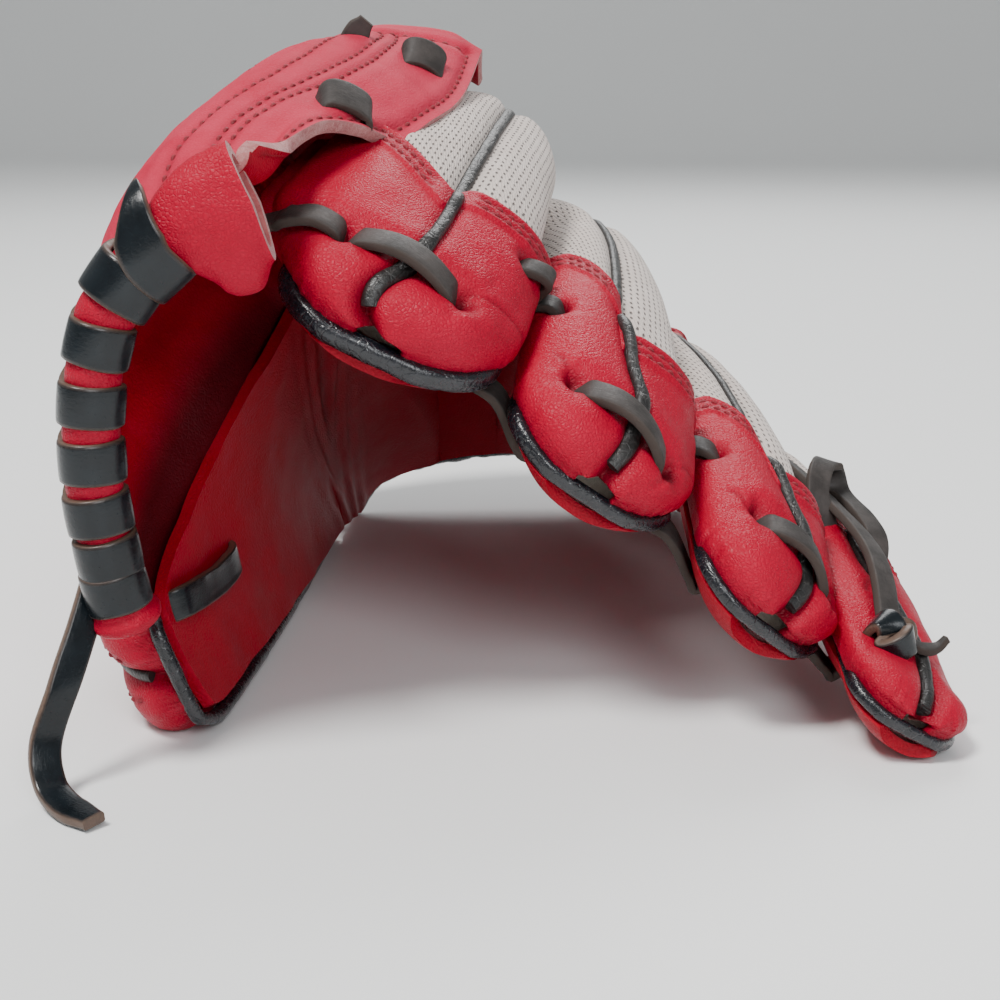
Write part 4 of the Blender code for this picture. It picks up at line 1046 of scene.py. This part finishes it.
for i in (4.0, 8.0):
    rows.append((np.full(240, i), np.linspace(6, n_j - 7, 240)))
rows.append((np.full(240, n_i - 7.0), np.linspace(6, n_j - 7, 240)))
for j in (96.0, 101.0, 168.0, 173.0):
    rows.append((np.linspace(9, n_i - 9, 90), j + 10.0 * np.sin(np.linspace(0, 1, 90) * math.pi) * (1 if j > 130 else -1)))
# painted shade in the stitch lines
painted_shade = np.zeros(D.shape)
for i, j in rows:
    d, _ = nearest(G, sample(G, i, j))
    D -= 0.4 * bell(d, 0.9)
    painted_shade = np.maximum(painted_shade, 0.4 * bell(d, 0.8))
top = G + N * D[..., None]
back = shell("hand_back_leather", top, top - N * 1.9, [RED, CUT, SUEDE], attrs={"painted_shade": painted_shade}, edge_wear=0.4)
place(back, "hand", "hand_back_panel", slot="red_leather")
TN = normals_of(top, (0.0, 0.4, 1.0))
for i, j in rows:
    sew("hand_back_stitching", sample(top, i, j), sample(TN, i, j), 2.7, 1.95, 0.36)
place(stitch_object("hand_back_stitching", THREAD), "hand", slot="red_leather")
wrist = spline(BG[-1, ::6] + np.array((0.0, 2.0, 0.0)) - BN[-1, ::6] * 1.0, 200)
place(rope("wrist_edge_binding", wrist, (0, 0.4, 1.0), 1.8, 1.9, [BIND], 33, 0.09, 18, 0.8), "hand", "wrist_binding", slot="black_trim")
edge = spline([p + np.array((0.0, 2.1, -0.4)) for p in heel[::4]] + [heel[-1] + np.array((0.0, 2.1, -0.4))], 180)
place(rope("heel_edge_binding", edge, (0, 0.5, 1.0), 1.7, 1.75, [BIND], 34, 0.09, 18, 0.8), "hand", "heel_binding", slot="black_trim")

# hook-and-loop strap: its root is sewn down on the hand back, and the leather bends there as the strap lifts
S_ROWS, S_COLS = slice(75, 121), slice(61, 211)
SG, SN = BG[S_ROWS, S_COLS].copy(), BN[S_ROWS, S_COLS]
n_i, n_j = SG.shape[:2]
tab = ease(np.arange(n_j), n_j - 22, n_j - 1)[None]
mid = SG.mean(0, keepdims=True)
SG = mid + (SG - mid) * (1 - 0.28 * tab ** 2)[..., None]
rise = ease(np.arange(n_j), 5.0, 21.0)[None]
D = 0.25 * ripple(SG, 18.0, 35) * (0.3 + 0.7 * rise) + 0.05
rows = [(np.full(160, 4.0), np.linspace(4, n_j - 6, 160)), (np.full(160, n_i - 5.0), np.linspace(4, n_j - 6, 160)),
        (np.linspace(5, n_i - 6, 50), np.full(50, n_j - 6.0)), (np.linspace(5, n_i - 6, 50), np.full(50, 40.0)),
        (np.linspace(5, n_i - 6, 50), np.full(50, 3.0)), (np.linspace(5, n_i - 6, 50), np.full(50, 7.0))]
# painted shade in the stitch lines
painted_shade = np.zeros(D.shape)
for i, j in rows:
    d, _ = nearest(SG, sample(SG, i, j))
    D -= 0.3 * bell(d, 0.8)
    painted_shade = np.maximum(painted_shade, 0.4 * bell(d, 0.8))
top = SG + SN * (2.3 + 3.0 * rise + D)[..., None]
HINGE, HINGE_AXIS = np.array((-38.24, 55.43, 45.77)), unit(np.array((-0.23907, -0.89539, 0.37566)))
lead = SG[n_i // 2, 24] - SG[n_i // 2, 4]
lead = unit(lead - (lead @ HINGE_AXIS) * HINGE_AXIS)
obj = shell("wrist_strap_leather", top, SG + SN * (0.7 + 3.0 * rise)[..., None], [RED, CUT, SUEDE], attrs={"painted_shade": painted_shade}, edge_wear=0.5)
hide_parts("wrist_strap")
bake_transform(obj)
TN = normals_of(top, (0.0, 0.4, 1.0))
for i, j in rows:
    sew("wrist_strap_stitching", sample(top, i, j), sample(TN, i, j), 2.6, 1.9, 0.34)
obj = stitch_object("wrist_strap_stitching", THREAD)
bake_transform(obj)
c = slice(104, 135)
place(shell("strap_hook_tape", SG[:, c] + SN[:, c] * 3.3, SG[:, c] + SN[:, c] * 2.2, [HOOK, HOOK, HOOK]), "strap", "strap_hook_patch", slot="hook_and_loop")
c = slice(90, 148)
place(shell("strap_loop_tape", SG[:, c] + SN[:, c] * 1.75, SG[:, c] + SN[:, c] * 0.35, [LOOP, LOOP, LOOP]), "hand", "strap_loop_patch", slot="hook_and_loop")

# ------------------------------------------------------------------ web

WEB = [[(-56.8, -86.0, 28.5), (-58.5, -87.5, 44.0), (-57.9, -88.0, 58.0), (-55.0, -88.0, 69.0), (-49.8, -87.5, 76.5),
        (-43.6, -87.0, 81.0), (-37.0, -86.0, 83.0)],
       [(-57.0, -64.0, 39.0), (-62.0, -63.0, 52.0), (-61.5, -62.0, 66.0), (-57.0, -61.0, 79.0), (-49.0, -60.0, 88.5),
        (-40.0, -59.0, 92.5), (-32.0, -58.0, 92.5)],
       [(-47.5, -40.0, 58.5), (-54.0, -37.0, 68.0), (-54.0, -34.0, 80.0), (-50.0, -32.0, 91.0), (-42.0, -30.0, 99.0),
        (-33.0, -28.0, 102.0), (-25.0, -26.0, 101.5)],
       [(-38.5, -22.0, 77.0), (-42.0, -14.0, 86.0), (-41.0, -9.0, 95.0), (-37.0, -5.0, 102.0), (-30.0, -1.0, 107.0),
        (-22.0, 2.0, 109.0), (-15.0, 4.0, 108.5)]]
W0 = patch(WEB, 11, 14)
W0N = normals_of(W0, (-1.0, 0.0, 1.0))
roll_line = spline(W0[0] - W0N[0] * 1.0, 28)
# one sheet from the thumb over the ridge to the free edge of the flap, whose edge waves
W8 = patch(WEB, 8, 13)
FLAP = np.array([(-35.1, -80.0, 91.7), (-31.8, -70.0, 91.3), (-26.8, -60.0, 93.1), (-21.5, -51.0, 92.0),
                 (-16.7, -42.0, 89.8), (-11.7, -33.0, 92.8), (-6.8, -18.0, 96.5), (-3.4, 4.0, 104.8)])
col = np.linspace(0, 1, 13)
W8[0] += np.array((0.0, 2.6, 6.0)) * ease(col, 0.74, 1.0)[:, None]
W8[0] += np.array((0.0, 3.0, 0.5)) * (1 - ease(col, 0.74, 1.0))[:, None]
net = []
for i in range(8):
    seam, free = W8[i, -1], FLAP[i]
    lift = np.array((0.0, 0.0, 1.0)) * (1.0 if i else 0.2)
    r = float(np.interp(i / 7.0, [0, 0.33, 0.67, 1.0], [0.08, 0.32, 0.64, 0.97]))
    under = thumb_grid([r], np.array([0.70]), 3.0)[0, 0]             # tucked in behind the top of the thumb
    edge = thumb_grid([r], np.array([0.97]), 2.4)[0, 0]
    net.append([under, edge] + list(W8[i][1:]) + [seam * 0.5 + free * 0.5 + lift, free])
WG = patch(net, 110, 220)
n_i, n_j = WG.shape[:2]
# behind the last row it turns down and goes in under the leather of the back of the hand
cj = np.interp(np.arange(n_j), [0, 24, 150, 192], [50.0, 58.0, 104.0, 124.0])
ci = np.interp(cj, [84, 112], [17.0, 42.0])
goal = sample(BG, ci, cj) - sample(BN, ci, cj) * 4.6
goal_t = unit(sample(BG, ci + 4, cj) - sample(BG, ci - 4, cj))
k = ease(np.arange(n_j), 190, 204)[:, None]
goal = goal * (1 - k) + (WG[-1] + np.array((0.0, 7.0, -5.0))) * k
lead = unit(WG[-1] - WG[-4])
gap = np.linalg.norm(goal - WG[-1], axis=1)[:, None]
more_rows = []
for t in np.linspace(0, 1, 25)[1:]:
    h00, h10, h01, h11 = 2 * t ** 3 - 3 * t * t + 1, t ** 3 - 2 * t * t + t, -2 * t ** 3 + 3 * t * t, t ** 3 - t * t
    more_rows.append(h00 * WG[-1] + h10 * lead * gap * 0.8 + h01 * goal + h11 * goal_t * gap * 0.8)
WG = np.concatenate([WG, np.array(more_rows)])
WN = normals_of(WG, (-1.0, 0.0, 1.0))
I, J = np.meshgrid(np.arange(len(WG)), np.arange(n_j), indexing="ij")
D = 0.5 * ripple(WG, 26.0, 41) + 0.14 * ripple(WG, 7.0, 42) + 2.2 * bell(J - 150.0, 55.0) * ease(I, 8, 34) * (1 - ease(I, 88, 108))


jj = np.linspace(0, 1, 180)
rows = []
rows.append((np.linspace(6, n_i - 8, 180), 178 + 4 * np.sin(jj * 5.0)))            # two rows along the ridge
rows.append((np.linspace(8, n_i - 8, 180), 184 + 4 * np.sin(jj * 5.0)))
rows.append((np.linspace(3, n_i - 5, 180), np.full(180, n_j - 6.0)))               # along the free edge of the flap
rows.append((np.linspace(14, n_i - 6, 180), 138 + 3 * np.sin(jj * 4.0)))           # outer panel
rows.append((np.linspace(12, n_i - 6, 180), 161 + 4 * np.sin(jj * 5.0)))
rows.append((np.full(150, 9.0), np.linspace(50, 170, 150)))                        # behind the lacing
rows.append((np.linspace(14, n_i - 6, 180), 80 + 3 * np.sin(jj * 4.0)))
rows.append((np.full(180, n_i - 7.0), np.linspace(26, n_j - 8, 180)))
# painted shade: full on the part tucked in behind the thumb, and in the stitch lines
painted_shade = 1.0 * (1 - ease(J, 22, 44))
for i, j in rows:
    d, _ = nearest(WG, sample(WG, i, j))
    D -= 0.45 * bell(d, 0.9)
    D += 0.18 * bell(d - 2.4, 1.3)
    painted_shade = np.maximum(painted_shade, 0.45 * bell(d, 0.75))
top = WG + WN * D[..., None]
wear = 0.75 * ease(J, n_j - 4, n_j - 1) + 0.25
web = shell("web_and_flap", top, top - WN * 2.0, [FADED, CUT, INNER], attrs={"painted_shade": painted_shade, "wear": wear}, lip=0.25)
bend(web, "web_panel", "web_index_tab", slot="red_leather")
TN = normals_of(top, (-1.0, 0.0, 1.0))
for i, j in rows:
    sew("web_stitching", sample(top, i, j), sample(TN, i, j), 2.5, 1.75, 0.34)
bend(stitch_object("web_stitching", THREAD), slot="red_leather")

# rolled front edge, puffed between the turns of lace, flaring to a free end
TURN_U = [0.800, 0.715, 0.575, 0.440, 0.312, 0.190, 0.085, 0.005]
dense = spline(roll_line, 601)
step = float(np.linalg.norm(np.diff(dense, axis=0), axis=1).sum())
low_end, high_end = np.array((-54.2, -84.6, 21.6)), np.array((-33.2, -85.6, 83.6))
lead = low_end + (dense[0] - low_end) * np.linspace(0, 1, 30)[:-1, None]
more = dense[-1] + (high_end - dense[-1]) * np.linspace(0, 1, 30)[1:, None]
U_LOW = -float(np.linalg.norm(dense[0] - low_end)) / step
U_HIGH = 1 + float(np.linalg.norm(dense[-1] - high_end)) / step
ud = np.concatenate([np.linspace(U_LOW, 0, 30)[:-1], np.linspace(0, 1, 601), np.linspace(1, U_HIGH, 30)[1:]])
dense = np.vstack([lead, dense, more])
for _ in range(60):
    dense[1:-1] = (dense[:-2] + 2 * dense[1:-1] + dense[2:]) / 4


def roll_at(u):
    return np.stack([np.interp(u, ud, dense[:, k]) for k in range(3)], -1)


RU = np.concatenate([np.linspace(U_LOW, 0.76, 170), np.linspace(0.765, U_HIGH, 96)])
RL = roll_at(RU)
RT = unit(np.gradient(RL, axis=0))
E1 = unit(np.array((0.0, 1.0, 0.0)) - RT[:, 1:2] * RT)
E2 = np.cross(RT, E1)
g = ease(RU, 0.77, 1.0)
end = ease(RU, 0.90, U_HIGH)
shut = np.sqrt(np.clip(1 - (1 - np.clip((RU - U_LOW) / 0.05, 0, 1)) ** 2, 0.01, 1)) * (1 + 0.35 * (1 - ease(RU, U_LOW, -0.01)))
puff = np.ones(len(RU))
for u in TURN_U:
    puff -= 0.80 * bell(RU - u, 0.040)
puff = np.clip(puff, 0, 1) * (1 - ease(RU, 0.8, 0.86))
ra = (3.0 + 1.2 * puff + 1.5 * g) * shut
rb_up = (3.0 + 1.2 * puff + 6.3 * g) * shut
rb_down = (3.0 + 1.2 * puff + 8.2 * g - 3.0 * ease(RU, U_HIGH - 0.06, U_HIGH)) * shut
ang = np.linspace(0, math.tau, 80, endpoint=False)
ca, sa = np.cos(ang)[None], np.sin(ang)[None]
rb = np.where(sa > 0, rb_up[:, None], rb_down[:, None])
ring = RL[:, None] + E1[:, None] * (ca * ra[:, None])[..., None] + E2[:, None] * (sa * rb)[..., None]
ring = ring + RT[:, None] * ((-0.3 * np.maximum(sa, 0) - 0.9 * np.maximum(-sa, 0)) * end[:, None])[..., None]
out = unit(ring - RL[:, None])
crease = 0.22 * ripple(ring, 9.0, 44) + 0.12 * ripple(ring, 4.0, 46)
crease = crease + 0.15 * g[:, None] * (np.abs(ripple(ring * np.array((0.55, 1.0, 1.5)), 4.6, 45)) ** 0.6 - 0.6)
ring = ring + out * (crease * shut[:, None])[..., None]
inner = RL[:, None] + (ring - RL[:, None]) * np.maximum(1 - 1.9 / np.linalg.norm(ring - RL[:, None], axis=2), 0.15)[..., None]
nr, nm = ring.shape[:2]
idx = np.arange(nr * nm).reshape(nr, nm)
faces, fm = [], []
for a, b in zip(idx, idx[1:]):
    for k in range(nm):
        faces.append((a[k], a[(k + 1) % nm], b[(k + 1) % nm], b[k])); fm.append(0)
faces.append(tuple(idx[0][::-1])); fm.append(0)
deepest = int(np.searchsorted(RU, 0.88))
off = nr * nm
iidx = np.arange((nr - deepest) * nm).reshape(nr - deepest, nm) + off
for a, b in zip(iidx, iidx[1:]):
    for k in range(nm):
        faces.append((a[(k + 1) % nm], a[k], b[k], b[(k + 1) % nm])); fm.append(2)
for k in range(nm):
    faces.append((idx[-1][k], idx[-1][(k + 1) % nm], iidx[-1][(k + 1) % nm], iidx[-1][k])); fm.append(1)
faces.append(tuple(iidx[0])); fm.append(2)
allv = np.vstack([ring.reshape(-1, 3), inner[deepest:].reshape(-1, 3)])
wear = np.concatenate([(0.7 * ease(RU, U_HIGH - 0.012, U_HIGH)[:, None] * np.ones((1, nm))).ravel(), np.zeros((nr - deepest) * nm)])
# painted shade where the lace turns pinch the roll, and inside its open end
painted_shade = np.concatenate([(0.6 * (1 - puff) * (1 - ease(RU, 0.8, 0.86)))[:, None].repeat(nm, 1).ravel(), np.full((nr - deepest) * nm, 0.3)])
roll = build("web_rolled_edge", allv, faces, [RED, CUT, SUEDE], fm, None, {"wear": wear, "painted_shade": painted_shade})
bend(roll, "web_edge_roll", slot="red_leather")

# lace wound round the rolled edge: square across the front, stepping to the next turn behind
path, over, wide = [], [], []
for k, u in enumerate(TURN_U):
    nxt = TURN_U[k + 1] if k + 1 < len(TURN_U) else None
    for a in np.linspace(0, 1, 40, endpoint=False):
        if nxt is None and a > 0.62:
            break
        uu = u if nxt is None else u + (nxt - u) * ease(a, 0.55, 1.0)
        uu = uu + (0.065 * (1 - float(ease(a, 0.0, 0.30))) if k == 0 else 0.0)
        p, t = roll_at(uu), unit(roll_at(uu + 0.01) - roll_at(uu - 0.01))
        e1 = unit(np.array((0.0, 1.0, 0.0)) - t[1] * t)
        e2 = np.cross(t, e1)
        th = math.pi / 2 + a * math.tau
        big = float(ease(uu, 0.68, 0.76))
        up = 2.6 * (1 - float(ease(len(path), 0, 9)))            # the cut end stands up a little
        path.append(p + (e1 * math.cos(th) + e2 * math.sin(th) * (1 + 0.12 * big)) * (4.05 + 0.9 * big + up + 0.12 * math.sin(3 * th)))
        over.append(t)
        wide.append(6.0 + 1.0 * big)
path, over, wide = np.array(path), np.array(over), np.array(wide)
wide[:9] *= np.linspace(0.08, 1.0, 9)
for _ in range(2):
    path[1:-1] = (path[:-2] + 2 * path[1:-1] + path[2:]) / 4
wraps = lace("web_lace_turns", path, over, wide, 1.5, [LACE], 46, 0.05)
bend(wraps, "web_wrap_lace", slot="lace_leather")

# free tail of the web lace, down to the floor
TAIL = [(-59.0, -84.8, 28.6), (-60.6, -88.4, 22.6), (-62.5, -92.5, 16.0), (-64.8, -95.5, 8.5), (-63.8, -98.5, 3.7), (-60.5, -102.5, 2.0), (-55.5, -107.0, 1.9)]
tail = spline(TAIL, 70)
w_tail = 4.6 * (1 - 0.25 * ease(np.linspace(0, 1, 70), 0.88, 1.0))
obj = lace("web_lace_end", tail, (0.75, 0.62, 0.1), w_tail, 1.5, [LACE], 47, 0.03)
place(obj, "thumb", "web_lace_tail", slot="lace_leather")

# lace staples through the flap: flat strips that dive at both ends, the far edge standing off the leather
for name, ii, jj, slip, long, tilt in (("web_tab_lace_front", 43.5, 207.5, 0.28, 7.6, 0.42), ("web_tab_lace_rear", 87.0, 196.5, 0.05, 6.6, 0.46)):
    c, n = sample(top, [ii], [jj])[0], unit(sample(TN, [ii], [jj])[0])
    side = unit(np.array((1.0, 0.0, 0.0)) - n[0] * n)
    along = unit(side + slip * np.cross(n, side))
    away = np.cross(n, along)
    h, wide = long / 2, 6.0
    over = np.array([(-h - 0.1, -5.2), (-h, -2.8), (-h + 0.25, -1.0), (-h + 1.3, -0.1), (0, 0.15), (h - 1.3, -0.25), (h - 0.25, -1.1), (h - 0.02, -2.1), (h - 0.1, -3.0)])
    p = spline(c + along * over[:, :1] + n * (over[:, 1:] + 0.5 * wide * math.sin(tilt) + 0.1), 60)
    place(lace(name + "_strip", p, away * math.cos(tilt) + n * math.sin(tilt), wide, 1.4, [LACE_GREY], 48, 0.03), "hand", name, slot="lace_leather")

# short cut end of lace standing up behind the top of the web
stub = spline([(-27.6, -13.0, 103.5), (-25.6, -13.6, 107.0), (-23.4, -14.0, 109.6)], 20)
place(lace("web_top_lace_end", stub, (0.9, 0.2, -0.5), 4.4 * (1 - 0.35 * ease(np.linspace(0, 1, 20), 0.7, 1.0)), 1.5, [LACE_GREY], 49, 0.04), "hand",
      slot="lace_leather")

# ------------------------------------------------------------------ finger laces


def over_finger(name, q0, y0, q1, y1, dive=(3.0, 3.4), lift=0.8, n=70):
    """A lace from one hole to another over the back of a finger, lying on the leather."""
    s = np.linspace(0, 1, n)
    i, j = tip_at(name, q0 + (q1 - q0) * s, y0 + (y1 - y0) * s)
    T = TIPS[name]
    raw, nn = sample(T["top"], i, j), unit(sample(T["n"], i, j))
    mean = unit(nn.mean(0))
    chord = raw[0] + (raw[-1] - raw[0]) * s[:, None]
    need = ((raw - chord) * mean).sum(1)
    keep = (s > 0.12) & (s < 0.88)
    arch = max(0.8, float((need[keep] / (4 * s[keep] * (1 - s[keep]))).max()))
    base = chord + mean * (arch * 4 * s * (1 - s))[:, None]                  # drawn tight, so it bridges the groove
    off = lift - dive[0] * (1 - ease(s, 0.0, 0.12)) - dive[1] * ease(s, 0.88, 1.0)
    return base + mean * off[:, None], frames(FINGERS[name], y0 + (y1 - y0) * s)[2]


for name in NAMES:
    for k, (q0, y0, q1, y1) in enumerate(FINGERS[name]["runs"]):
        p, across = over_finger(name, q0, y0, q1, y1)
        place(lace("%s_top_lace" % name, p, across, 4.7, 1.6, [LACE_GREY], 55 + k, 0.04), "hand", slot="lace_leather")
# from behind the web roll into the index finger
f = FINGERS["index"]
stops = [(-37.0, -66.0, 78.6), (-33.0, -66.6, 79.6), tip_point("index", -0.80, 11.8, 1.7), tip_point("index", -0.62, 11.3, 1.2),
         tip_point("index", -0.51, 10.9, 0.9), tip_point("index", -0.46, 10.6, -0.6), tip_point("index", -0.44, 10.4, -2.6)]
place(lace("web_to_index_lace", spline(stops, 60), frames(f, [12.0])[2][0], 4.7, 1.6, [LACE_GREY], 58, 0.04), "hand", slot="lace_leather")
# short runs in the valleys between neighbouring fingers
for k, (qa, ya, qb, yb) in enumerate(((0.62, 26.0, -0.80, 30.0), (0.90, 23.0, -0.85, 30.0))):
    na, nb = NAMES[k], NAMES[k + 1]
    a = [tip_point(na, qa - 0.08, ya - 1.0, -2.2), tip_point(na, qa, ya, 0.9), tip_point(na, qa + 0.15, ya + 1.5, 1.5)]
    b = [tip_point(nb, qb - 0.09, yb + 1.5, 1.4), tip_point(nb, qb, yb, 0.9), tip_point(nb, qb + 0.08, yb - 1.0, -2.2)]
    place(lace("%s_%s_lace" % (na, nb), spline(a + b, 46), frames(FINGERS[na], [ya])[2][0], 4.2, 1.5, [LACE_GREY], 60 + k, 0.04),
                        "hand", slot="lace_leather")
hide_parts("finger_lace")

# palm-side laces between the finger tips
for k in range(3):
    f0, f1 = FINGERS[NAMES[k]], FINGERS[NAMES[k + 1]]
    depth = LEATHER + (1.6 if k == 2 else 0.9)
    y1 = 13.0 + f0["tip"][1] - f1["tip"][1]
    a = [palm_grid(f0, np.array([q]), np.array([13.0]), depth + dz)[0, 0] for q, dz in ((0.42, -2.4), (0.55, 0.3), (0.75, 0.6), (0.98, 0.4))]
    b = [palm_grid(f1, np.array([q]), np.array([y1]), depth + dz)[0, 0] for q, dz in ((-0.98, 0.4), (-0.75, 0.6), (-0.55, 0.3), (-0.42, -2.4))]
    stops = a[:3] + [(a[3] + b[0]) / 2] + b[1:]
    across = frames(f0, [13.0])[2][0] + frames(f1, [13.0])[2][0]
    name = "palm_lace_%s_%s" % (NAMES[k], NAMES[k + 1])
    place(lace(name + "_strip", spline(stops, 50), across, 5.0, 1.5, [LACE_GREY], 63 + k, 0.04), "hand", name, slot="lace_leather")
stops = [thumb_palm_grid([r], np.array([q]), LEATHER + d)[0, 0] for r, q, d in ((0.10, 0.66, -1.6), (0.12, 0.58, 1.2), (0.18, 0.36, 1.7), (0.28, 0.10, 1.7),
                                                                              (0.38, -0.02, 1.2), (0.41, -0.04, -1.6))]
across = np.cross(thumb_frames([0.25])[2][0], stops[-2] - stops[1])
place(lace("thumb_palm_lace_strip", spline(stops, 50), across, 5.0, 1.5, [LACE], 66, 0.04), "thumb", "thumb_palm_lace", slot="lace_leather")

# knot on the little finger, with its free tail lying along the valley
pf, rf = FINGERS["pinky"], FINGERS["ring"]
c, w, d, n = (v[0] for v in frames(pf, [14.0]))
knot = tip_point("pinky", -0.30, 13.5, 2.4)
t = np.linspace(0.35, 2 * math.pi - 0.2, 130)
kx = (np.sin(t) + 2 * np.sin(2 * t)) / 3.0
ky = (np.cos(t) - 2 * np.cos(2 * t)) / 3.0
kz = -np.sin(3 * t)
P = knot + w * (kx * 3.2)[:, None] + d * (ky * 3.2)[:, None] + n * (kz * 2.0)[:, None]
tt = unit(np.gradient(P, axis=0))
obj = lace("pinky_knot", P, np.cross(tt, unit(P - knot)), 4.4, 1.7, [LACE], 67, 0.08)
place(obj, "hand", "pinky_lace_knot", slot="lace_leather")


run = [knot + d * 2.6 - w * 0.6 + n * 1.2] + [back_point(pf, q, y, h) for q, y, h in ((-0.26, 27.0, 3.6), (-0.26, 38.0, 3.4), (-0.40, 52.0, 2.6), (-0.52, 68.0, 1.6), (-0.64, 82.0, 1.4))]
line = spline(run, 60)
obj = lace("pinky_lace_end", line, w, 4.4, 1.5, [LACE_GREY], 68, 0.03)
place(obj, "hand", "pinky_lace_tail", slot="lace_leather")
# the other end of that lace: a short cut stub, and a loop that stands up behind the tail
stub = spline([knot + w * 1.5 + n * 0.8, knot + w * 5.0 + n * 1.2 - d * 0.4, knot + w * 7.6 + n * 2.2 + d * 0.6, knot + w * 8.6 + n * 4.0 + d * 1.6], 24)
place(lace("pinky_knot_end", stub, d, 2.2 * (1 - 0.5 * ease(np.linspace(0, 1, 24), 0.5, 1.0)), 1.2, [LACE_GREY], 69, 0.05), "hand", slot="lace_leather")
loop = spline([back_point(pf, -0.55, 47.0, -0.5), (55.0, -39.0, 30.4), (56.8, -33.0, 33.8), (59.6, -27.0, 32.2), (61.4, -26.5, 27.6),
               back_point(pf, -0.02, 54.0, 2.6), back_point(pf, 0.06, 48.5, 2.2), back_point(pf, 0.10, 44.5, 0.4), back_point(pf, 0.11, 43.0, -1.6)], 70)
place(lace("little_finger_lace_loop", loop, (0.85, 0.10, -0.30), 4.2, 1.4, [LACE_GREY], 70, 0.04), "hand", slot="lace_leather")
ys, qs = np.linspace(14.0, span_of(pf) - 10.0, 30), np.linspace(-0.5, 0.5, 12)
c, w_, d_, n_ = frames(pf, ys)
flat = c[:, None] + w_[:, None] * (half_width(pf, ys)[:, None] * qs[None])[..., None]
place(shell("pinky_insert", flat + n_[:, None] * 2.9, flat + n_[:, None] * 1.9, [PLASTIC, PLASTIC, PLASTIC], lip=0.25), "hand", "pinky_stiffener",
      slot="insert_plastic")

# ------------------------------------------------------------------ studio

floor_mat = Nodes("studio_floor")
pos = floor_mat.add("ShaderNodeTexCoord").outputs["Object"]
fl = floor_mat.noise(pos, 3.0, 2.0)
floor_mat = floor_mat.finish(Base_Color=floor_mat.mix(fl, rgb(0.84, 0.85, 0.85), rgb(0.87, 0.88, 0.88)), Roughness=0.55, Specular_IOR_Level=0.3)
me = bpy.data.meshes.new("studio_floor")
ext, wall, seg = 3.0, 1.6, 24
pts, fcs = [], []
prof = [(-ext, 0.0)] + [(wall + 0.8 * math.sin(a), 0.8 - 0.8 * math.cos(a)) for a in np.linspace(0, math.pi / 2, seg)] + [(wall + 0.8, 3.0)]
for yy, zz in prof:
    pts += [(-ext, yy, zz), (ext, yy, zz)]
for k in range(len(prof) - 1):
    fcs.append((2 * k, 2 * k + 1, 2 * k + 3, 2 * k + 2))
me.from_pydata(pts, [], fcs)
me.polygons.foreach_set("use_smooth", np.ones(len(fcs), bool))
me.materials.append(floor_mat)
floor = bpy.data.objects.new("studio_floor", me)
bpy.context.scene.collection.objects.link(floor)


def area(name, loc, target, size, power, colour=(1, 1, 1)):
    data = bpy.data.lights.new(name, "AREA")
    data.shape = "DISK"
    data.size = size
    data.energy = power
    data.color = colour
    obj = bpy.data.objects.new(name, data)
    bpy.context.scene.collection.objects.link(obj)
    obj.location = loc
    from mathutils import Vector
    obj.rotation_euler = (Vector(target) - Vector(loc)).to_track_quat("-Z", "Y").to_euler()
    return obj


area("key", (-0.40, -0.42, 1.10), (0.0, -0.02, 0.05), 0.34, 18.0, (1.0, 0.985, 0.96))
area("fill", (0.30, -0.95, 0.62), (0.0, 0.0, 0.05), 0.5, 6.0, (0.96, 0.98, 1.0))
area("rim", (0.15, 0.80, 0.80), (0.0, 0.0, 0.06), 0.7, 7.0)
world = bpy.data.worlds.new("studio")
world.use_nodes = True
world.node_tree.nodes["Background"].inputs[0].default_value = (0.93, 0.95, 0.96, 1.0)
world.node_tree.nodes["Background"].inputs[1].default_value = 0.40
bpy.context.scene.world = world

cam_data = bpy.data.cameras.new("camera")
cam_data.lens = 57.6
cam_data.sensor_width = 36.0
cam_data.clip_start = 0.01
cam = bpy.data.objects.new("camera", cam_data)
bpy.context.scene.collection.objects.link(cam)
cam.location = row((0.0, -307.0, 101.0))
cam.rotation_euler = (math.radians(75.0), 0.0, 0.0)
bpy.context.scene.camera = cam
